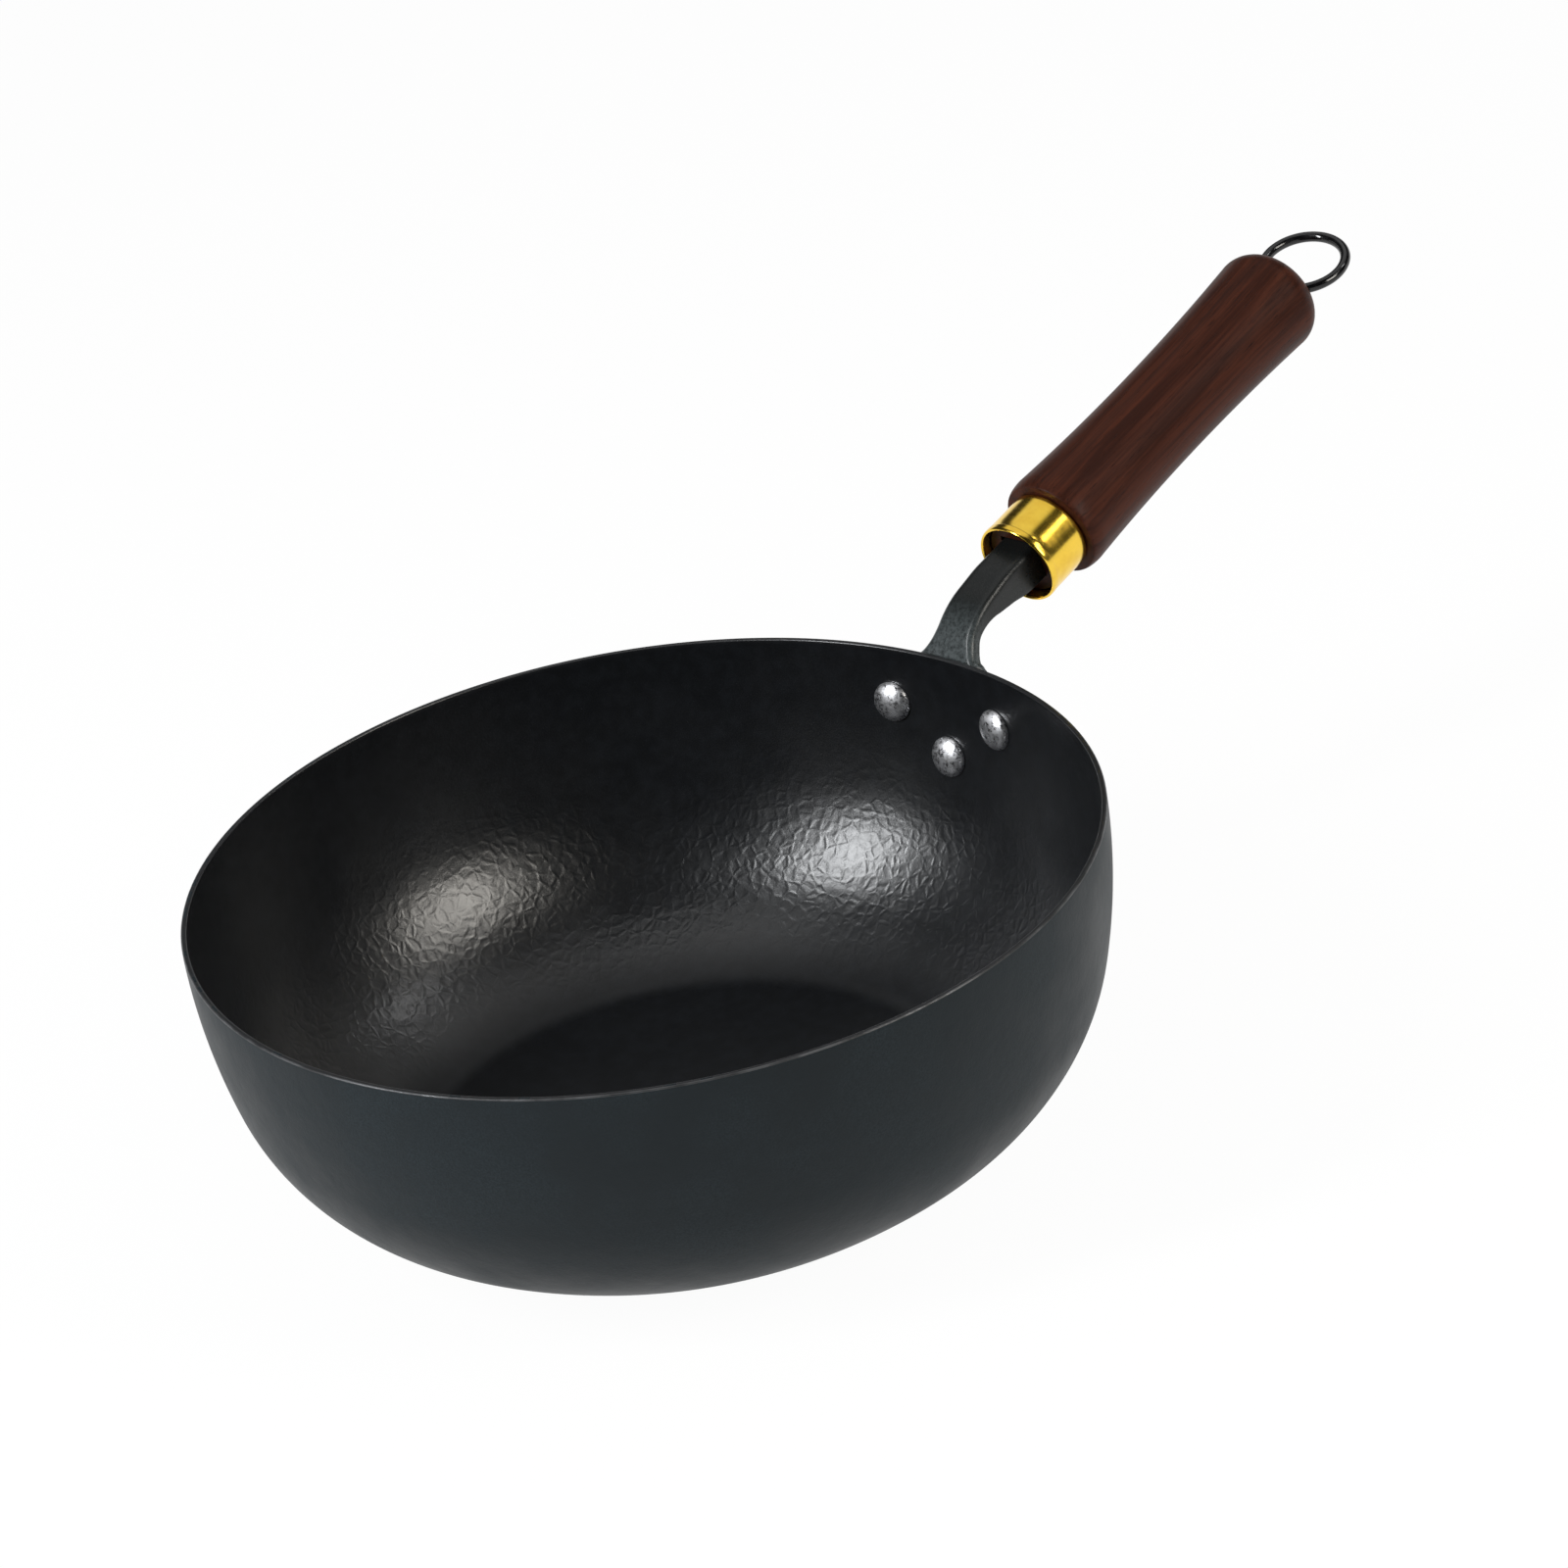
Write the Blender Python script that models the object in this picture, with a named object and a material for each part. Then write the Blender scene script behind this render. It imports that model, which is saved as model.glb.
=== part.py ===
"""A deep iron wok with a riveted channel bracket, a brass ferrule, a turned wooden handle and a hanging eye.

Metres, +Z up.  The origin is the centre of the flat base, and the handle reaches out along +X.
"""
import math

import bmesh
import bpy
from mathutils import Matrix, Vector

# Clearance between pieces that touch or seat on each other
SEAT_GAP = 0.0003

# Bowl: the outer wall is four tangent arcs from the flat base up.  The lower and the upper wall take
# the radii that carry it out to the rim.
RIM_RADIUS = 0.140
BOWL_HEIGHT = 0.0997
BASE_RADIUS = 0.083
BASE_CORNER_RADIUS = 0.018
BASE_CORNER_TURN = math.radians(30.0)
LOWER_WALL_TURN = math.radians(7.5)
KNUCKLE_RADIUS = 0.065
KNUCKLE_TURN = math.radians(39.0)
UPPER_WALL_TURN = math.radians(14.6)
BOWL_WALL = 0.0018
RIM_ROUNDING = 0.0005

# Rivets: two side by side below the rim and one lower on the centre line
UPPER_RIVET_DEPTH = 0.019
UPPER_RIVET_SPACING = 0.044
LOWER_RIVET_DEPTH = 0.034
RIVET_SHANK_DIAMETER = 0.0056
RIVET_HEAD_DIAMETER = 0.0134
RIVET_HEAD_HEIGHT = 0.0030
RIVET_TAIL_DIAMETER = 0.0100
RIVET_TAIL_HEIGHT = 0.0018

# Bracket: one pressed sheet, a plate on the outside of the wall that runs into a channel strap
BRACKET_SHEET = 0.0020
BRACKET_BEND_RADIUS = 0.0024
PLATE_WING_MARGIN = 0.0085
PLATE_TIP_RADIUS = 0.0100
STRAP_ROOT_WIDTH = 0.0232
STRAP_NECK_WIDTH = 0.0155
STRAP_NECK_LENGTH = 0.0120
CHANNEL_WIDTH = 0.0142
CHANNEL_DEPTH = 0.0126
NECK_FLANGE_DEPTH = 0.0044
CHANNEL_TOP_ABOVE_AXIS = 0.0068
FLANGE_GROWTH_START = 0.0082
FLANGE_RUN_OUT = 0.0100
FLANGE_FULL_TURN_AT = 0.0040
RIM_BEND_DROP = 0.0012
RIM_BEND_RADIUS = 0.0067
STRAP_RISE_ANGLE = math.radians(56.9)
STRAP_RISE_LENGTH = 0.0157
ELBOW_RADIUS = 0.0292
STRAP_REACH_ANGLE = math.radians(22.2)
STRAP_REACH_LENGTH = 0.0188
WRIST_RADIUS = 0.0400
STRAP_END_LENGTH = 0.0111
CHANNEL_INSERTION = 0.0145
END_WALL_INSET = 0.0003

# Handle: distances along its axis are measured from the mouth of the ferrule
HANDLE_ANGLE = math.radians(14.8)
FERRULE_LENGTH = 0.0183
FERRULE_DIAMETER = 0.0290
FERRULE_WALL = 0.0010
FERRULE_LIP_DIAMETER = 0.0293
FERRULE_LIP_LENGTH = 0.0024
TENON_SETBACK = 0.0040
HANDLE_LENGTH = 0.1321
HANDLE_SHOULDER_DIAMETER = 0.0336
HANDLE_SHOULDER_ROUNDING = 0.0050
HANDLE_FRONT_DIAMETER = 0.0359
HANDLE_WAIST_DIAMETER = 0.0326
HANDLE_WAIST_AT = 0.0595
HANDLE_REAR_DIAMETER = 0.0364
HANDLE_END_ROUNDING = 0.0095

# Hanging eye: a closed ring on a rod, clamped by a nut inside the channel
EYE_RADIUS = 0.0141
EYE_WIRE_DIAMETER = 0.0035
EYE_STANDOFF = 0.0139
EYE_ROLL = math.radians(5.3)
ROD_DIAMETER = 0.0040
ROD_END_AT = 0.0055
NUT_ACROSS_FLATS = 0.0070
NUT_THICKNESS = 0.0032
NUT_CHAMFER = 0.0004

# Smoothness of the round and bent stretches
BOWL_SEGMENTS = 72
HANDLE_SEGMENTS = 48
RIVET_SEGMENTS = 24
ROD_SEGMENTS = 20
WIRE_SEGMENTS = 12
HEX_SIDES = 6
PLATE_ROWS = 11
PLATE_TIP_ROWS = 3
SMOOTH_BELOW = math.radians(32.0)
MERGE_DISTANCE = 0.00001


# Small geometry helpers


def eased(x, x0, x1, y0, y1):
    """Value that leaves y0 at x0 and arrives at y1 at x1 with no slope at either end."""
    share = min(max((x - x0) / (x1 - x0), 0.0), 1.0)
    return y0 + (y1 - y0) * share * share * (3.0 - 2.0 * share)


def spaced(start, end, pieces):
    """Evenly spaced values from start to end, both included."""
    return [start + (end - start) * i / pieces for i in range(pieces + 1)]


def ellipse_arc(centre, radii, start, end, pieces):
    """Points (r, z) on an elliptical arc between two angles."""
    return [
        (centre[0] + radii[0] * math.cos(a), centre[1] + radii[1] * math.sin(a))
        for a in spaced(start, end, pieces)
    ]


class WallArc:
    """One arc of the outer wall: the tangent turns from `start` by `turn` above the horizontal."""

    def __init__(self, r, z, start, radius, turn):
        self.centre_r = r - radius * math.sin(start)
        self.centre_z = z + radius * math.cos(start)
        self.radius = radius
        self.start = start
        self.end = start + turn

    def point(self, angle):
        r = self.centre_r + self.radius * math.sin(angle)
        z = self.centre_z - self.radius * math.cos(angle)
        return r, z, angle

    def samples(self, pieces):
        return [self.point(a) for a in spaced(self.start, self.end, pieces)]


def arc_reach(start, end):
    """How far out and up an arc of unit radius carries the wall while its tangent turns."""
    return Vector((math.sin(end) - math.sin(start), math.cos(start) - math.cos(end)))


def wall_arcs():
    """Arcs of the outer wall, from the edge of the flat base to the rim."""
    angles = [0.0]
    for turn in (BASE_CORNER_TURN, LOWER_WALL_TURN, KNUCKLE_TURN, UPPER_WALL_TURN):
        angles.append(angles[-1] + turn)
    corner, lower, knuckle, upper = (arc_reach(*pair) for pair in zip(angles, angles[1:]))
    whole = Vector((RIM_RADIUS - BASE_RADIUS, BOWL_HEIGHT))
    walls = whole - BASE_CORNER_RADIUS * corner - KNUCKLE_RADIUS * knuckle
    spread = lower.cross(upper)
    lower_radius = walls.cross(upper) / spread
    upper_radius = lower.cross(walls) / spread
    radii = (BASE_CORNER_RADIUS, lower_radius, KNUCKLE_RADIUS, upper_radius)
    arcs = []
    r, z = BASE_RADIUS, 0.0
    for radius, start, end in zip(radii, angles, angles[1:]):
        arcs.append(WallArc(r, z, start, radius, end - start))
        r, z, _ = arcs[-1].point(end)
    return arcs


WALL_ARCS = wall_arcs()
WALL_ARC_PIECES = (3, 2, 6, 4)


def wall_at(depth):
    """Outer radius and tangent angle of the wall at a depth below the rim."""
    height = BOWL_HEIGHT - depth
    for arc in reversed(WALL_ARCS):
        if height >= arc.point(arc.start)[1]:
            break
    angle = math.acos((arc.centre_z - height) / arc.radius)
    return arc.point(angle)[0], angle


# Building blocks


def new_object(name, mesh, mat, parent=None):
    obj = bpy.data.objects.new(name, mesh)
    bpy.context.scene.collection.objects.link(obj)
    if mat is not None:
        mesh.materials.append(mat)
    obj.parent = parent
    return obj


def smooth_shaded(mesh):
    mesh.shade_smooth()
    mesh.set_sharp_from_angle(angle=SMOOTH_BELOW)
    return mesh


def finish_mesh(name, bm):
    """Turn a closed bmesh into a mesh with its faces out and its round sides smooth."""
    bmesh.ops.recalc_face_normals(bm, faces=bm.faces)
    mesh = bpy.data.meshes.new(name)
    bm.to_mesh(mesh)
    bm.free()
    return smooth_shaded(mesh)


def turned_mesh(name, profile, segments, closed=False):
    """Spin a profile of (r, z) points about Z.  An open profile is capped flat at both ends."""
    bm = bmesh.new()
    verts = [bm.verts.new((r, 0.0, z)) for r, z in profile]
    edges = [bm.edges.new(pair) for pair in zip(verts, verts[1:])]
    if closed:
        edges.append(bm.edges.new((verts[-1], verts[0])))
    bmesh.ops.spin(
        bm,
        geom=verts + edges,
        axis=(0.0, 0.0, 1.0),
        cent=(0.0, 0.0, 0.0),
        angle=math.tau,
        steps=segments,
        use_merge=True,
    )
    bmesh.ops.remove_doubles(bm, verts=bm.verts, dist=MERGE_DISTANCE)
    rims = [edge for edge in bm.edges if edge.is_boundary]
    if rims:
        bmesh.ops.holes_fill(bm, edges=rims)
    return finish_mesh(name, bm)


def hidden(obj):
    obj.hide_render = True
    obj.display_type = "WIRE"
    return obj


def cylinder_cutter(name, radius, start, end, segments, parent=None):
    mesh = turned_mesh(name, [(radius, start), (radius, end)], segments)
    return hidden(new_object(name, mesh, None, parent))


def box_cutter(name, low, high, parent=None):
    bm = bmesh.new()
    bmesh.ops.create_cube(bm, size=1.0)
    bmesh.ops.scale(bm, vec=Vector(high) - Vector(low), verts=bm.verts)
    bmesh.ops.translate(bm, vec=(Vector(low) + Vector(high)) / 2, verts=bm.verts)
    mesh = bpy.data.meshes.new(name)
    bm.to_mesh(mesh)
    bm.free()
    return hidden(new_object(name, mesh, None, parent))


def combine(obj, other, operation):
    modifier = obj.modifiers.new(other.name, "BOOLEAN")
    modifier.operation = operation
    modifier.solver = "EXACT"
    modifier.object = other


def material(name, colour, roughness, metallic):
    mat = bpy.data.materials.new(name)
    mat.use_nodes = True
    shader = mat.node_tree.nodes["Principled BSDF"]
    shader.inputs["Base Color"].default_value = (*colour, 1.0)
    shader.inputs["Roughness"].default_value = roughness
    shader.inputs["Metallic"].default_value = metallic
    return mat


# Bowl


def bowl_profile():
    """Outer wall from the base edge up, over the rounded rim, and down the inside."""
    outer = []
    for arc, pieces in zip(WALL_ARCS, WALL_ARC_PIECES):
        outer += arc.samples(pieces)[:-1]
    outer.append(WALL_ARCS[-1].point(WALL_ARCS[-1].end))
    inner = [(r - BOWL_WALL * math.sin(a), z + BOWL_WALL * math.cos(a)) for r, z, a in outer]
    rim_outer = outer.pop()[0]
    rim_inner = inner.pop()[0]
    rim = [
        (rim_outer, BOWL_HEIGHT - RIM_ROUNDING),
        (rim_outer - RIM_ROUNDING, BOWL_HEIGHT),
        (rim_inner + RIM_ROUNDING, BOWL_HEIGHT),
        (rim_inner, BOWL_HEIGHT - RIM_ROUNDING),
    ]
    return [(r, z) for r, z, _ in outer] + rim + inner[::-1]


def add_bowl(mat):
    return new_object("wok_bowl", turned_mesh("wok_bowl", bowl_profile(), BOWL_SEGMENTS), mat)


# Rivets: a rivet's own Z runs from the inside of the bowl to the outside


def rivet_places():
    """Name, depth below the rim and turn about the bowl's axis for each rivet."""
    upper_radius = wall_at(UPPER_RIVET_DEPTH)[0]
    turn = math.asin(UPPER_RIVET_SPACING / 2 / upper_radius)
    return (
        ("rivet_left", UPPER_RIVET_DEPTH, turn),
        ("rivet_right", UPPER_RIVET_DEPTH, -turn),
        ("rivet_lower", LOWER_RIVET_DEPTH, 0.0),
    )


def rivet_frame(depth, turn):
    """Frame on the outer wall, with Z along the outward normal."""
    radius, angle = wall_at(depth)
    tilt = Matrix.Rotation(math.pi - angle, 4, "Y")
    place = Matrix.Translation((radius, 0.0, BOWL_HEIGHT - depth))
    return Matrix.Rotation(turn, 4, "Z") @ place @ tilt


def rivet_profile(head_seat, tail_seat):
    """Domed head, shank and low formed tail, as (r, z) with z = 0 on the outer wall."""
    head_radii = (RIVET_HEAD_DIAMETER / 2, RIVET_HEAD_HEIGHT)
    tail_radii = (RIVET_TAIL_DIAMETER / 2, RIVET_TAIL_HEIGHT)
    head = ellipse_arc((0.0, head_seat), head_radii, -math.pi / 2, 0.0, pieces=6)[1:]
    tail = ellipse_arc((0.0, tail_seat), tail_radii, 0.0, math.pi / 2, pieces=4)[:-1]
    shank = [(RIVET_SHANK_DIAMETER / 2, head_seat), (RIVET_SHANK_DIAMETER / 2, tail_seat)]
    return head + shank + tail


def hollow_rise(head_radius, wall_radius):
    """How far the curved, faceted wall rises towards a flat disc of head_radius laid in it."""
    curve = head_radius**2 / (2 * wall_radius)
    facet = wall_radius * (1 - math.cos(math.pi / BOWL_SEGMENTS))
    return curve + facet


def add_rivets(mat, cut_pieces):
    head_rise = hollow_rise(RIVET_HEAD_DIAMETER / 2, RIM_RADIUS - BOWL_WALL)
    head_seat = -BOWL_WALL - SEAT_GAP - head_rise
    tail_seat = 2 * SEAT_GAP + BRACKET_SHEET
    hole_radius = RIVET_SHANK_DIAMETER / 2 + SEAT_GAP
    hole_start = head_seat - RIVET_HEAD_HEIGHT
    hole_end = tail_seat + RIVET_TAIL_HEIGHT
    for name, depth, turn in rivet_places():
        frame = rivet_frame(depth, turn)
        mesh = turned_mesh(name, rivet_profile(head_seat, tail_seat), RIVET_SEGMENTS)
        new_object(name, mesh, mat).matrix_world = frame
        hole = cylinder_cutter(name + "_hole", hole_radius, hole_start, hole_end, RIVET_SEGMENTS)
        hole.matrix_world = frame
        for piece in cut_pieces:
            combine(piece, hole, "DIFFERENCE")


# Bracket: rows of points across the sheet, swept along a path in the XZ plane


class Path:
    """The bracket's bowl-side face in the XZ plane, walked upwards from the tip of the plate.

    Each station is (x, z, angle, along), with `along` measured from the corner of the bend at the rim.
    """

    def __init__(self):
        self.stations = []

    def add(self, x, z, angle, along):
        self.stations.append((x, z, angle, along))

    def straight(self, length, pieces):
        x, z, angle, along = self.stations[-1]
        for step in spaced(0.0, length, pieces)[1:]:
            self.add(x + step * math.cos(angle), z + step * math.sin(angle), angle, along + step)

    def bend(self, radius, turn, pieces):
        """Bend towards the horizontal.  `along` keeps to the corner that the bend rounds off."""
        x, z, angle, along = self.stations[-1]
        corner = 2 * radius * math.tan(turn / 2)
        for share in spaced(0.0, 1.0, pieces)[1:]:
            now = angle - turn * share
            dx = radius * (math.sin(angle) - math.sin(now))
            dz = radius * (math.cos(now) - math.cos(angle))
            self.add(x + dx, z + dz, now, along + corner * share)


def tangent_length(radius, turn):
    return radius * math.tan(turn / 2)


def plate_rows():
    """Depths of the plate's rows, from near the tip up to the start of the rim bend."""
    first_row = math.radians(78.0)
    last_row = math.radians(46.0)
    tip_angles = spaced(first_row, last_row, PLATE_TIP_ROWS)
    tip_rows = [LOWER_RIVET_DEPTH + PLATE_TIP_RADIUS * math.sin(a) for a in tip_angles]
    turn = wall_at(RIM_BEND_DROP)[1] - STRAP_RISE_ANGLE
    top = RIM_BEND_DROP + tangent_length(RIM_BEND_RADIUS, turn)
    return tip_rows + spaced(tip_rows[-1], top, PLATE_ROWS)[1:]


def bracket_path():
    path = Path()
    for depth in plate_rows():
        radius, angle = wall_at(depth)
        x = radius + SEAT_GAP * math.sin(angle)
        z = BOWL_HEIGHT - depth - SEAT_GAP * math.cos(angle)
        path.add(x, z, angle, RIM_BEND_DROP - depth)
    rim_turn = path.stations[-1][2] - STRAP_RISE_ANGLE
    elbow_turn = STRAP_RISE_ANGLE - STRAP_REACH_ANGLE
    wrist_turn = STRAP_REACH_ANGLE - HANDLE_ANGLE
    rim_cut = tangent_length(RIM_BEND_RADIUS, rim_turn)
    elbow_cut = tangent_length(ELBOW_RADIUS, elbow_turn)
    wrist_cut = tangent_length(WRIST_RADIUS, wrist_turn)
    path.bend(RIM_BEND_RADIUS, rim_turn, pieces=5)
    path.straight(STRAP_RISE_LENGTH - rim_cut - elbow_cut, pieces=2)
    path.bend(ELBOW_RADIUS, elbow_turn, pieces=7)
    path.straight(STRAP_REACH_LENGTH - elbow_cut - wrist_cut, pieces=2)
    path.bend(WRIST_RADIUS, wrist_turn, pieces=3)
    path.straight(STRAP_END_LENGTH - wrist_cut + CHANNEL_INSERTION, pieces=4)
    return path.stations


def mouth_frame(stations):
    """Frame at the centre of the ferrule's mouth: Z along the handle, Y across, X downwards."""
    x, z, angle, _ = stations[-1]
    x -= CHANNEL_INSERTION * math.cos(angle) - CHANNEL_TOP_ABOVE_AXIS * math.sin(angle)
    z -= CHANNEL_INSERTION * math.sin(angle) + CHANNEL_TOP_ABOVE_AXIS * math.cos(angle)
    return Matrix.Translation((x, 0.0, z)) @ Matrix.Rotation(math.pi / 2 - angle, 4, "Y")


def mouth_along():
    return STRAP_RISE_LENGTH + STRAP_REACH_LENGTH + STRAP_END_LENGTH


def strap_half_width(along):
    """Half of the strap's width over its bends: it flares to the rim and tapers to the ferrule."""
    share = min(max(along / STRAP_NECK_LENGTH, 0.0), 1.0)
    flare = (STRAP_ROOT_WIDTH - STRAP_NECK_WIDTH) / 2 * (1.0 - share) ** 2
    taper = min(max((along - STRAP_NECK_LENGTH) / (mouth_along() - STRAP_NECK_LENGTH), 0.0), 1.0)
    return (STRAP_NECK_WIDTH + (CHANNEL_WIDTH - STRAP_NECK_WIDTH) * taper) / 2 + flare


def wing_reach():
    """Half of the plate's width, measured along the wall, at the upper rivets."""
    radius = wall_at(UPPER_RIVET_DEPTH)[0]
    return radius * math.asin(UPPER_RIVET_SPACING / 2 / radius) + PLATE_WING_MARGIN


def plate_half_width(depth, root):
    """Half-width of the shield-shaped plate: shoulders, round wings, straight sides and a round tip."""
    if depth <= UPPER_RIVET_DEPTH:
        return eased(depth, RIM_BEND_DROP, UPPER_RIVET_DEPTH, root, wing_reach())
    wing_across = wing_reach() - PLATE_WING_MARGIN
    drop = LOWER_RIVET_DEPTH - UPPER_RIVET_DEPTH
    reach = math.hypot(drop, wing_across)
    lean = math.asin((PLATE_TIP_RADIUS - PLATE_WING_MARGIN) / reach)
    normal = math.atan2(wing_across, drop) - lean
    wing_end = UPPER_RIVET_DEPTH + PLATE_WING_MARGIN * math.sin(normal)
    tip_start = LOWER_RIVET_DEPTH + PLATE_TIP_RADIUS * math.sin(normal)
    if depth <= wing_end:
        return wing_across + math.sqrt(PLATE_WING_MARGIN**2 - (depth - UPPER_RIVET_DEPTH) ** 2)
    if depth >= tip_start:
        return math.sqrt(max(PLATE_TIP_RADIUS**2 - (depth - LOWER_RIVET_DEPTH) ** 2, 0.0))
    share = (depth - wing_end) / (tip_start - wing_end)
    wing_side = wing_across + PLATE_WING_MARGIN * math.cos(normal)
    return wing_side + (PLATE_TIP_RADIUS * math.cos(normal) - wing_side) * share


def bracket_section(along):
    """Half of the section at a station, from the centre line out, as (across, below the face)."""
    web_pieces, bend_pieces, flange_pieces = 3, 3, 3
    bend_length = BRACKET_BEND_RADIUS * math.pi / 2
    depth = eased(along, FLANGE_GROWTH_START, mouth_along(), NECK_FLANGE_DEPTH, CHANNEL_DEPTH)
    flange = depth - BRACKET_BEND_RADIUS
    web = strap_half_width(along) - BRACKET_BEND_RADIUS
    turn = eased(along, -FLANGE_RUN_OUT, FLANGE_FULL_TURN_AT, 0.0, math.pi / 2)
    if along < 0.0:
        total = plate_half_width(RIM_BEND_DROP - along, web + bend_length + flange)
        shrink = min(1.0, total / (web + bend_length + flange))
        web *= shrink
        bend_length *= shrink
        flange = total - web - bend_length
    points = [(web * share, 0.0) for share in spaced(0.0, 1.0, web_pieces)]
    across, below, heading = web, 0.0, 0.0
    for _ in range(bend_pieces):
        heading += turn / bend_pieces / 2
        across += bend_length / bend_pieces * math.cos(heading)
        below += bend_length / bend_pieces * math.sin(heading)
        heading += turn / bend_pieces / 2
        points.append((across, below))
    for share in spaced(0.0, 1.0, flange_pieces)[1:]:
        reach = flange * share
        points.append((across + reach * math.cos(turn), below + reach * math.sin(turn)))
    return points


def placed(station, across, below):
    """Point of the sheet's face: wrapped round the bowl on the plate, and flat across on the strap."""
    x, z, angle, along = station
    wrap = eased(along, -RIM_BEND_DROP, RIM_BEND_RADIUS, 1.0, 0.0)
    radius = x + below * math.sin(angle)
    turn = wrap * across / x
    flat = (1.0 - wrap) * across
    out = radius * math.cos(turn) - flat * math.sin(turn)
    side = radius * math.sin(turn) + flat * math.cos(turn)
    return Vector((out, side, z - below * math.cos(angle)))


def bracket_mesh(stations):
    bm = bmesh.new()
    rows = []
    for station in stations:
        half = bracket_section(station[3])
        section = [(-across, below) for across, below in half[:0:-1]] + half
        rows.append([bm.verts.new(placed(station, across, below)) for across, below in section])
    for lower, upper in zip(rows, rows[1:]):
        for i in range(len(lower) - 1):
            bm.faces.new((lower[i], lower[i + 1], upper[i + 1], upper[i]))
    mesh = bpy.data.meshes.new("handle_bracket")
    bm.to_mesh(mesh)
    bm.free()
    return smooth_shaded(mesh)


def add_bracket(mat, stations, handle_axis):
    bracket = new_object("handle_bracket", bracket_mesh(stations), mat)
    sheet = bracket.modifiers.new("sheet", "SOLIDIFY")
    sheet.thickness = BRACKET_SHEET
    sheet.offset = 1.0
    sheet.use_even_offset = True
    mid_sheet = BRACKET_SHEET / 2
    wall_end = CHANNEL_INSERTION - END_WALL_INSET
    wall_start = wall_end - BRACKET_SHEET
    low = (mid_sheet - CHANNEL_TOP_ABOVE_AXIS, mid_sheet - CHANNEL_WIDTH / 2, wall_start)
    high = (CHANNEL_DEPTH - CHANNEL_TOP_ABOVE_AXIS - END_WALL_INSET, CHANNEL_WIDTH / 2 - mid_sheet, wall_end)
    combine(bracket, box_cutter("bracket_end_wall", low, high, handle_axis), "UNION")
    hole_radius = ROD_DIAMETER / 2 + SEAT_GAP
    hole_start = wall_start - BRACKET_SHEET
    hole_end = wall_end + BRACKET_SHEET
    hole = cylinder_cutter("rod_hole", hole_radius, hole_start, hole_end, ROD_SEGMENTS, handle_axis)
    combine(bracket, hole, "DIFFERENCE")
    return bracket


# Ferrule


def ferrule_profile():
    """Rolled lip at the mouth, then a thin tube with a rounded rear edge."""
    inner = FERRULE_DIAMETER / 2 - FERRULE_WALL
    outer = FERRULE_DIAMETER / 2
    lip = FERRULE_LIP_DIAMETER / 2
    roll_centre = ((inner + lip) / 2, FERRULE_LIP_LENGTH / 2)
    roll_radii = ((lip - inner) / 2, FERRULE_LIP_LENGTH / 2)
    return ellipse_arc(roll_centre, roll_radii, math.pi, math.tau, pieces=4) + [
        (lip, FERRULE_LIP_LENGTH),
        (outer, FERRULE_LIP_LENGTH + lip - outer),
        (outer, FERRULE_LENGTH - FERRULE_WALL / 2),
        (outer - FERRULE_WALL / 2, FERRULE_LENGTH),
        (inner, FERRULE_LENGTH),
    ]


def add_ferrule(mat, handle_axis):
    mesh = turned_mesh("ferrule", ferrule_profile(), HANDLE_SEGMENTS, closed=True)
    return new_object("ferrule", mesh, mat, handle_axis)


# Wooden handle: its own Z starts at the shoulder that meets the ferrule


def shoulder_at():
    return FERRULE_LENGTH + SEAT_GAP


def handle_end_at():
    return shoulder_at() + HANDLE_LENGTH


def grip_radius(z):
    """Radius of the grip, which swells from the waist towards both ends."""
    if z < HANDLE_WAIST_AT:
        swell = HANDLE_FRONT_DIAMETER
        span = HANDLE_WAIST_AT - HANDLE_SHOULDER_ROUNDING
    else:
        swell = HANDLE_REAR_DIAMETER
        span = HANDLE_LENGTH - HANDLE_END_ROUNDING - HANDLE_WAIST_AT
    share = (z - HANDLE_WAIST_AT) / span
    return (HANDLE_WAIST_DIAMETER + (swell - HANDLE_WAIST_DIAMETER) * share * share) / 2


def handle_profile():
    """Tenon inside the ferrule, flat shoulder with a rounded edge, waisted grip and rounded end."""
    tenon = FERRULE_DIAMETER / 2 - FERRULE_WALL - SEAT_GAP
    tenon_start = TENON_SETBACK - shoulder_at()
    shoulder = HANDLE_SHOULDER_DIAMETER / 2
    front_centre = (shoulder, HANDLE_SHOULDER_ROUNDING)
    front_radii = (HANDLE_FRONT_DIAMETER / 2 - shoulder, HANDLE_SHOULDER_ROUNDING)
    grip_end = HANDLE_LENGTH - HANDLE_END_ROUNDING
    end_centre = (HANDLE_REAR_DIAMETER / 2 - HANDLE_END_ROUNDING, grip_end)
    end_radii = (HANDLE_END_ROUNDING, HANDLE_END_ROUNDING)
    profile = [(tenon - SEAT_GAP, tenon_start), (tenon, tenon_start + SEAT_GAP), (tenon, 0.0)]
    profile += ellipse_arc(front_centre, front_radii, -math.pi / 2, 0.0, pieces=4)[:-1]
    profile += [(grip_radius(z), z) for z in spaced(HANDLE_SHOULDER_ROUNDING, grip_end, 12)][:-1]
    profile += ellipse_arc(end_centre, end_radii, 0.0, math.pi / 2, pieces=6)
    return profile


def add_wooden_handle(mat, handle_axis):
    mesh = turned_mesh("wooden_handle", handle_profile(), HANDLE_SEGMENTS)
    handle = new_object("wooden_handle", mesh, mat, handle_axis)
    handle.location.z = shoulder_at()
    combine(handle, channel_pocket(handle_axis), "DIFFERENCE")
    bore_radius = ROD_DIAMETER / 2 + SEAT_GAP
    bore_end = handle_end_at() + EYE_STANDOFF
    bore = cylinder_cutter("rod_bore", bore_radius, CHANNEL_INSERTION, bore_end, ROD_SEGMENTS, handle_axis)
    combine(handle, bore, "DIFFERENCE")
    combine(handle, eye_slot(handle_axis), "DIFFERENCE")
    return handle


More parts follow.
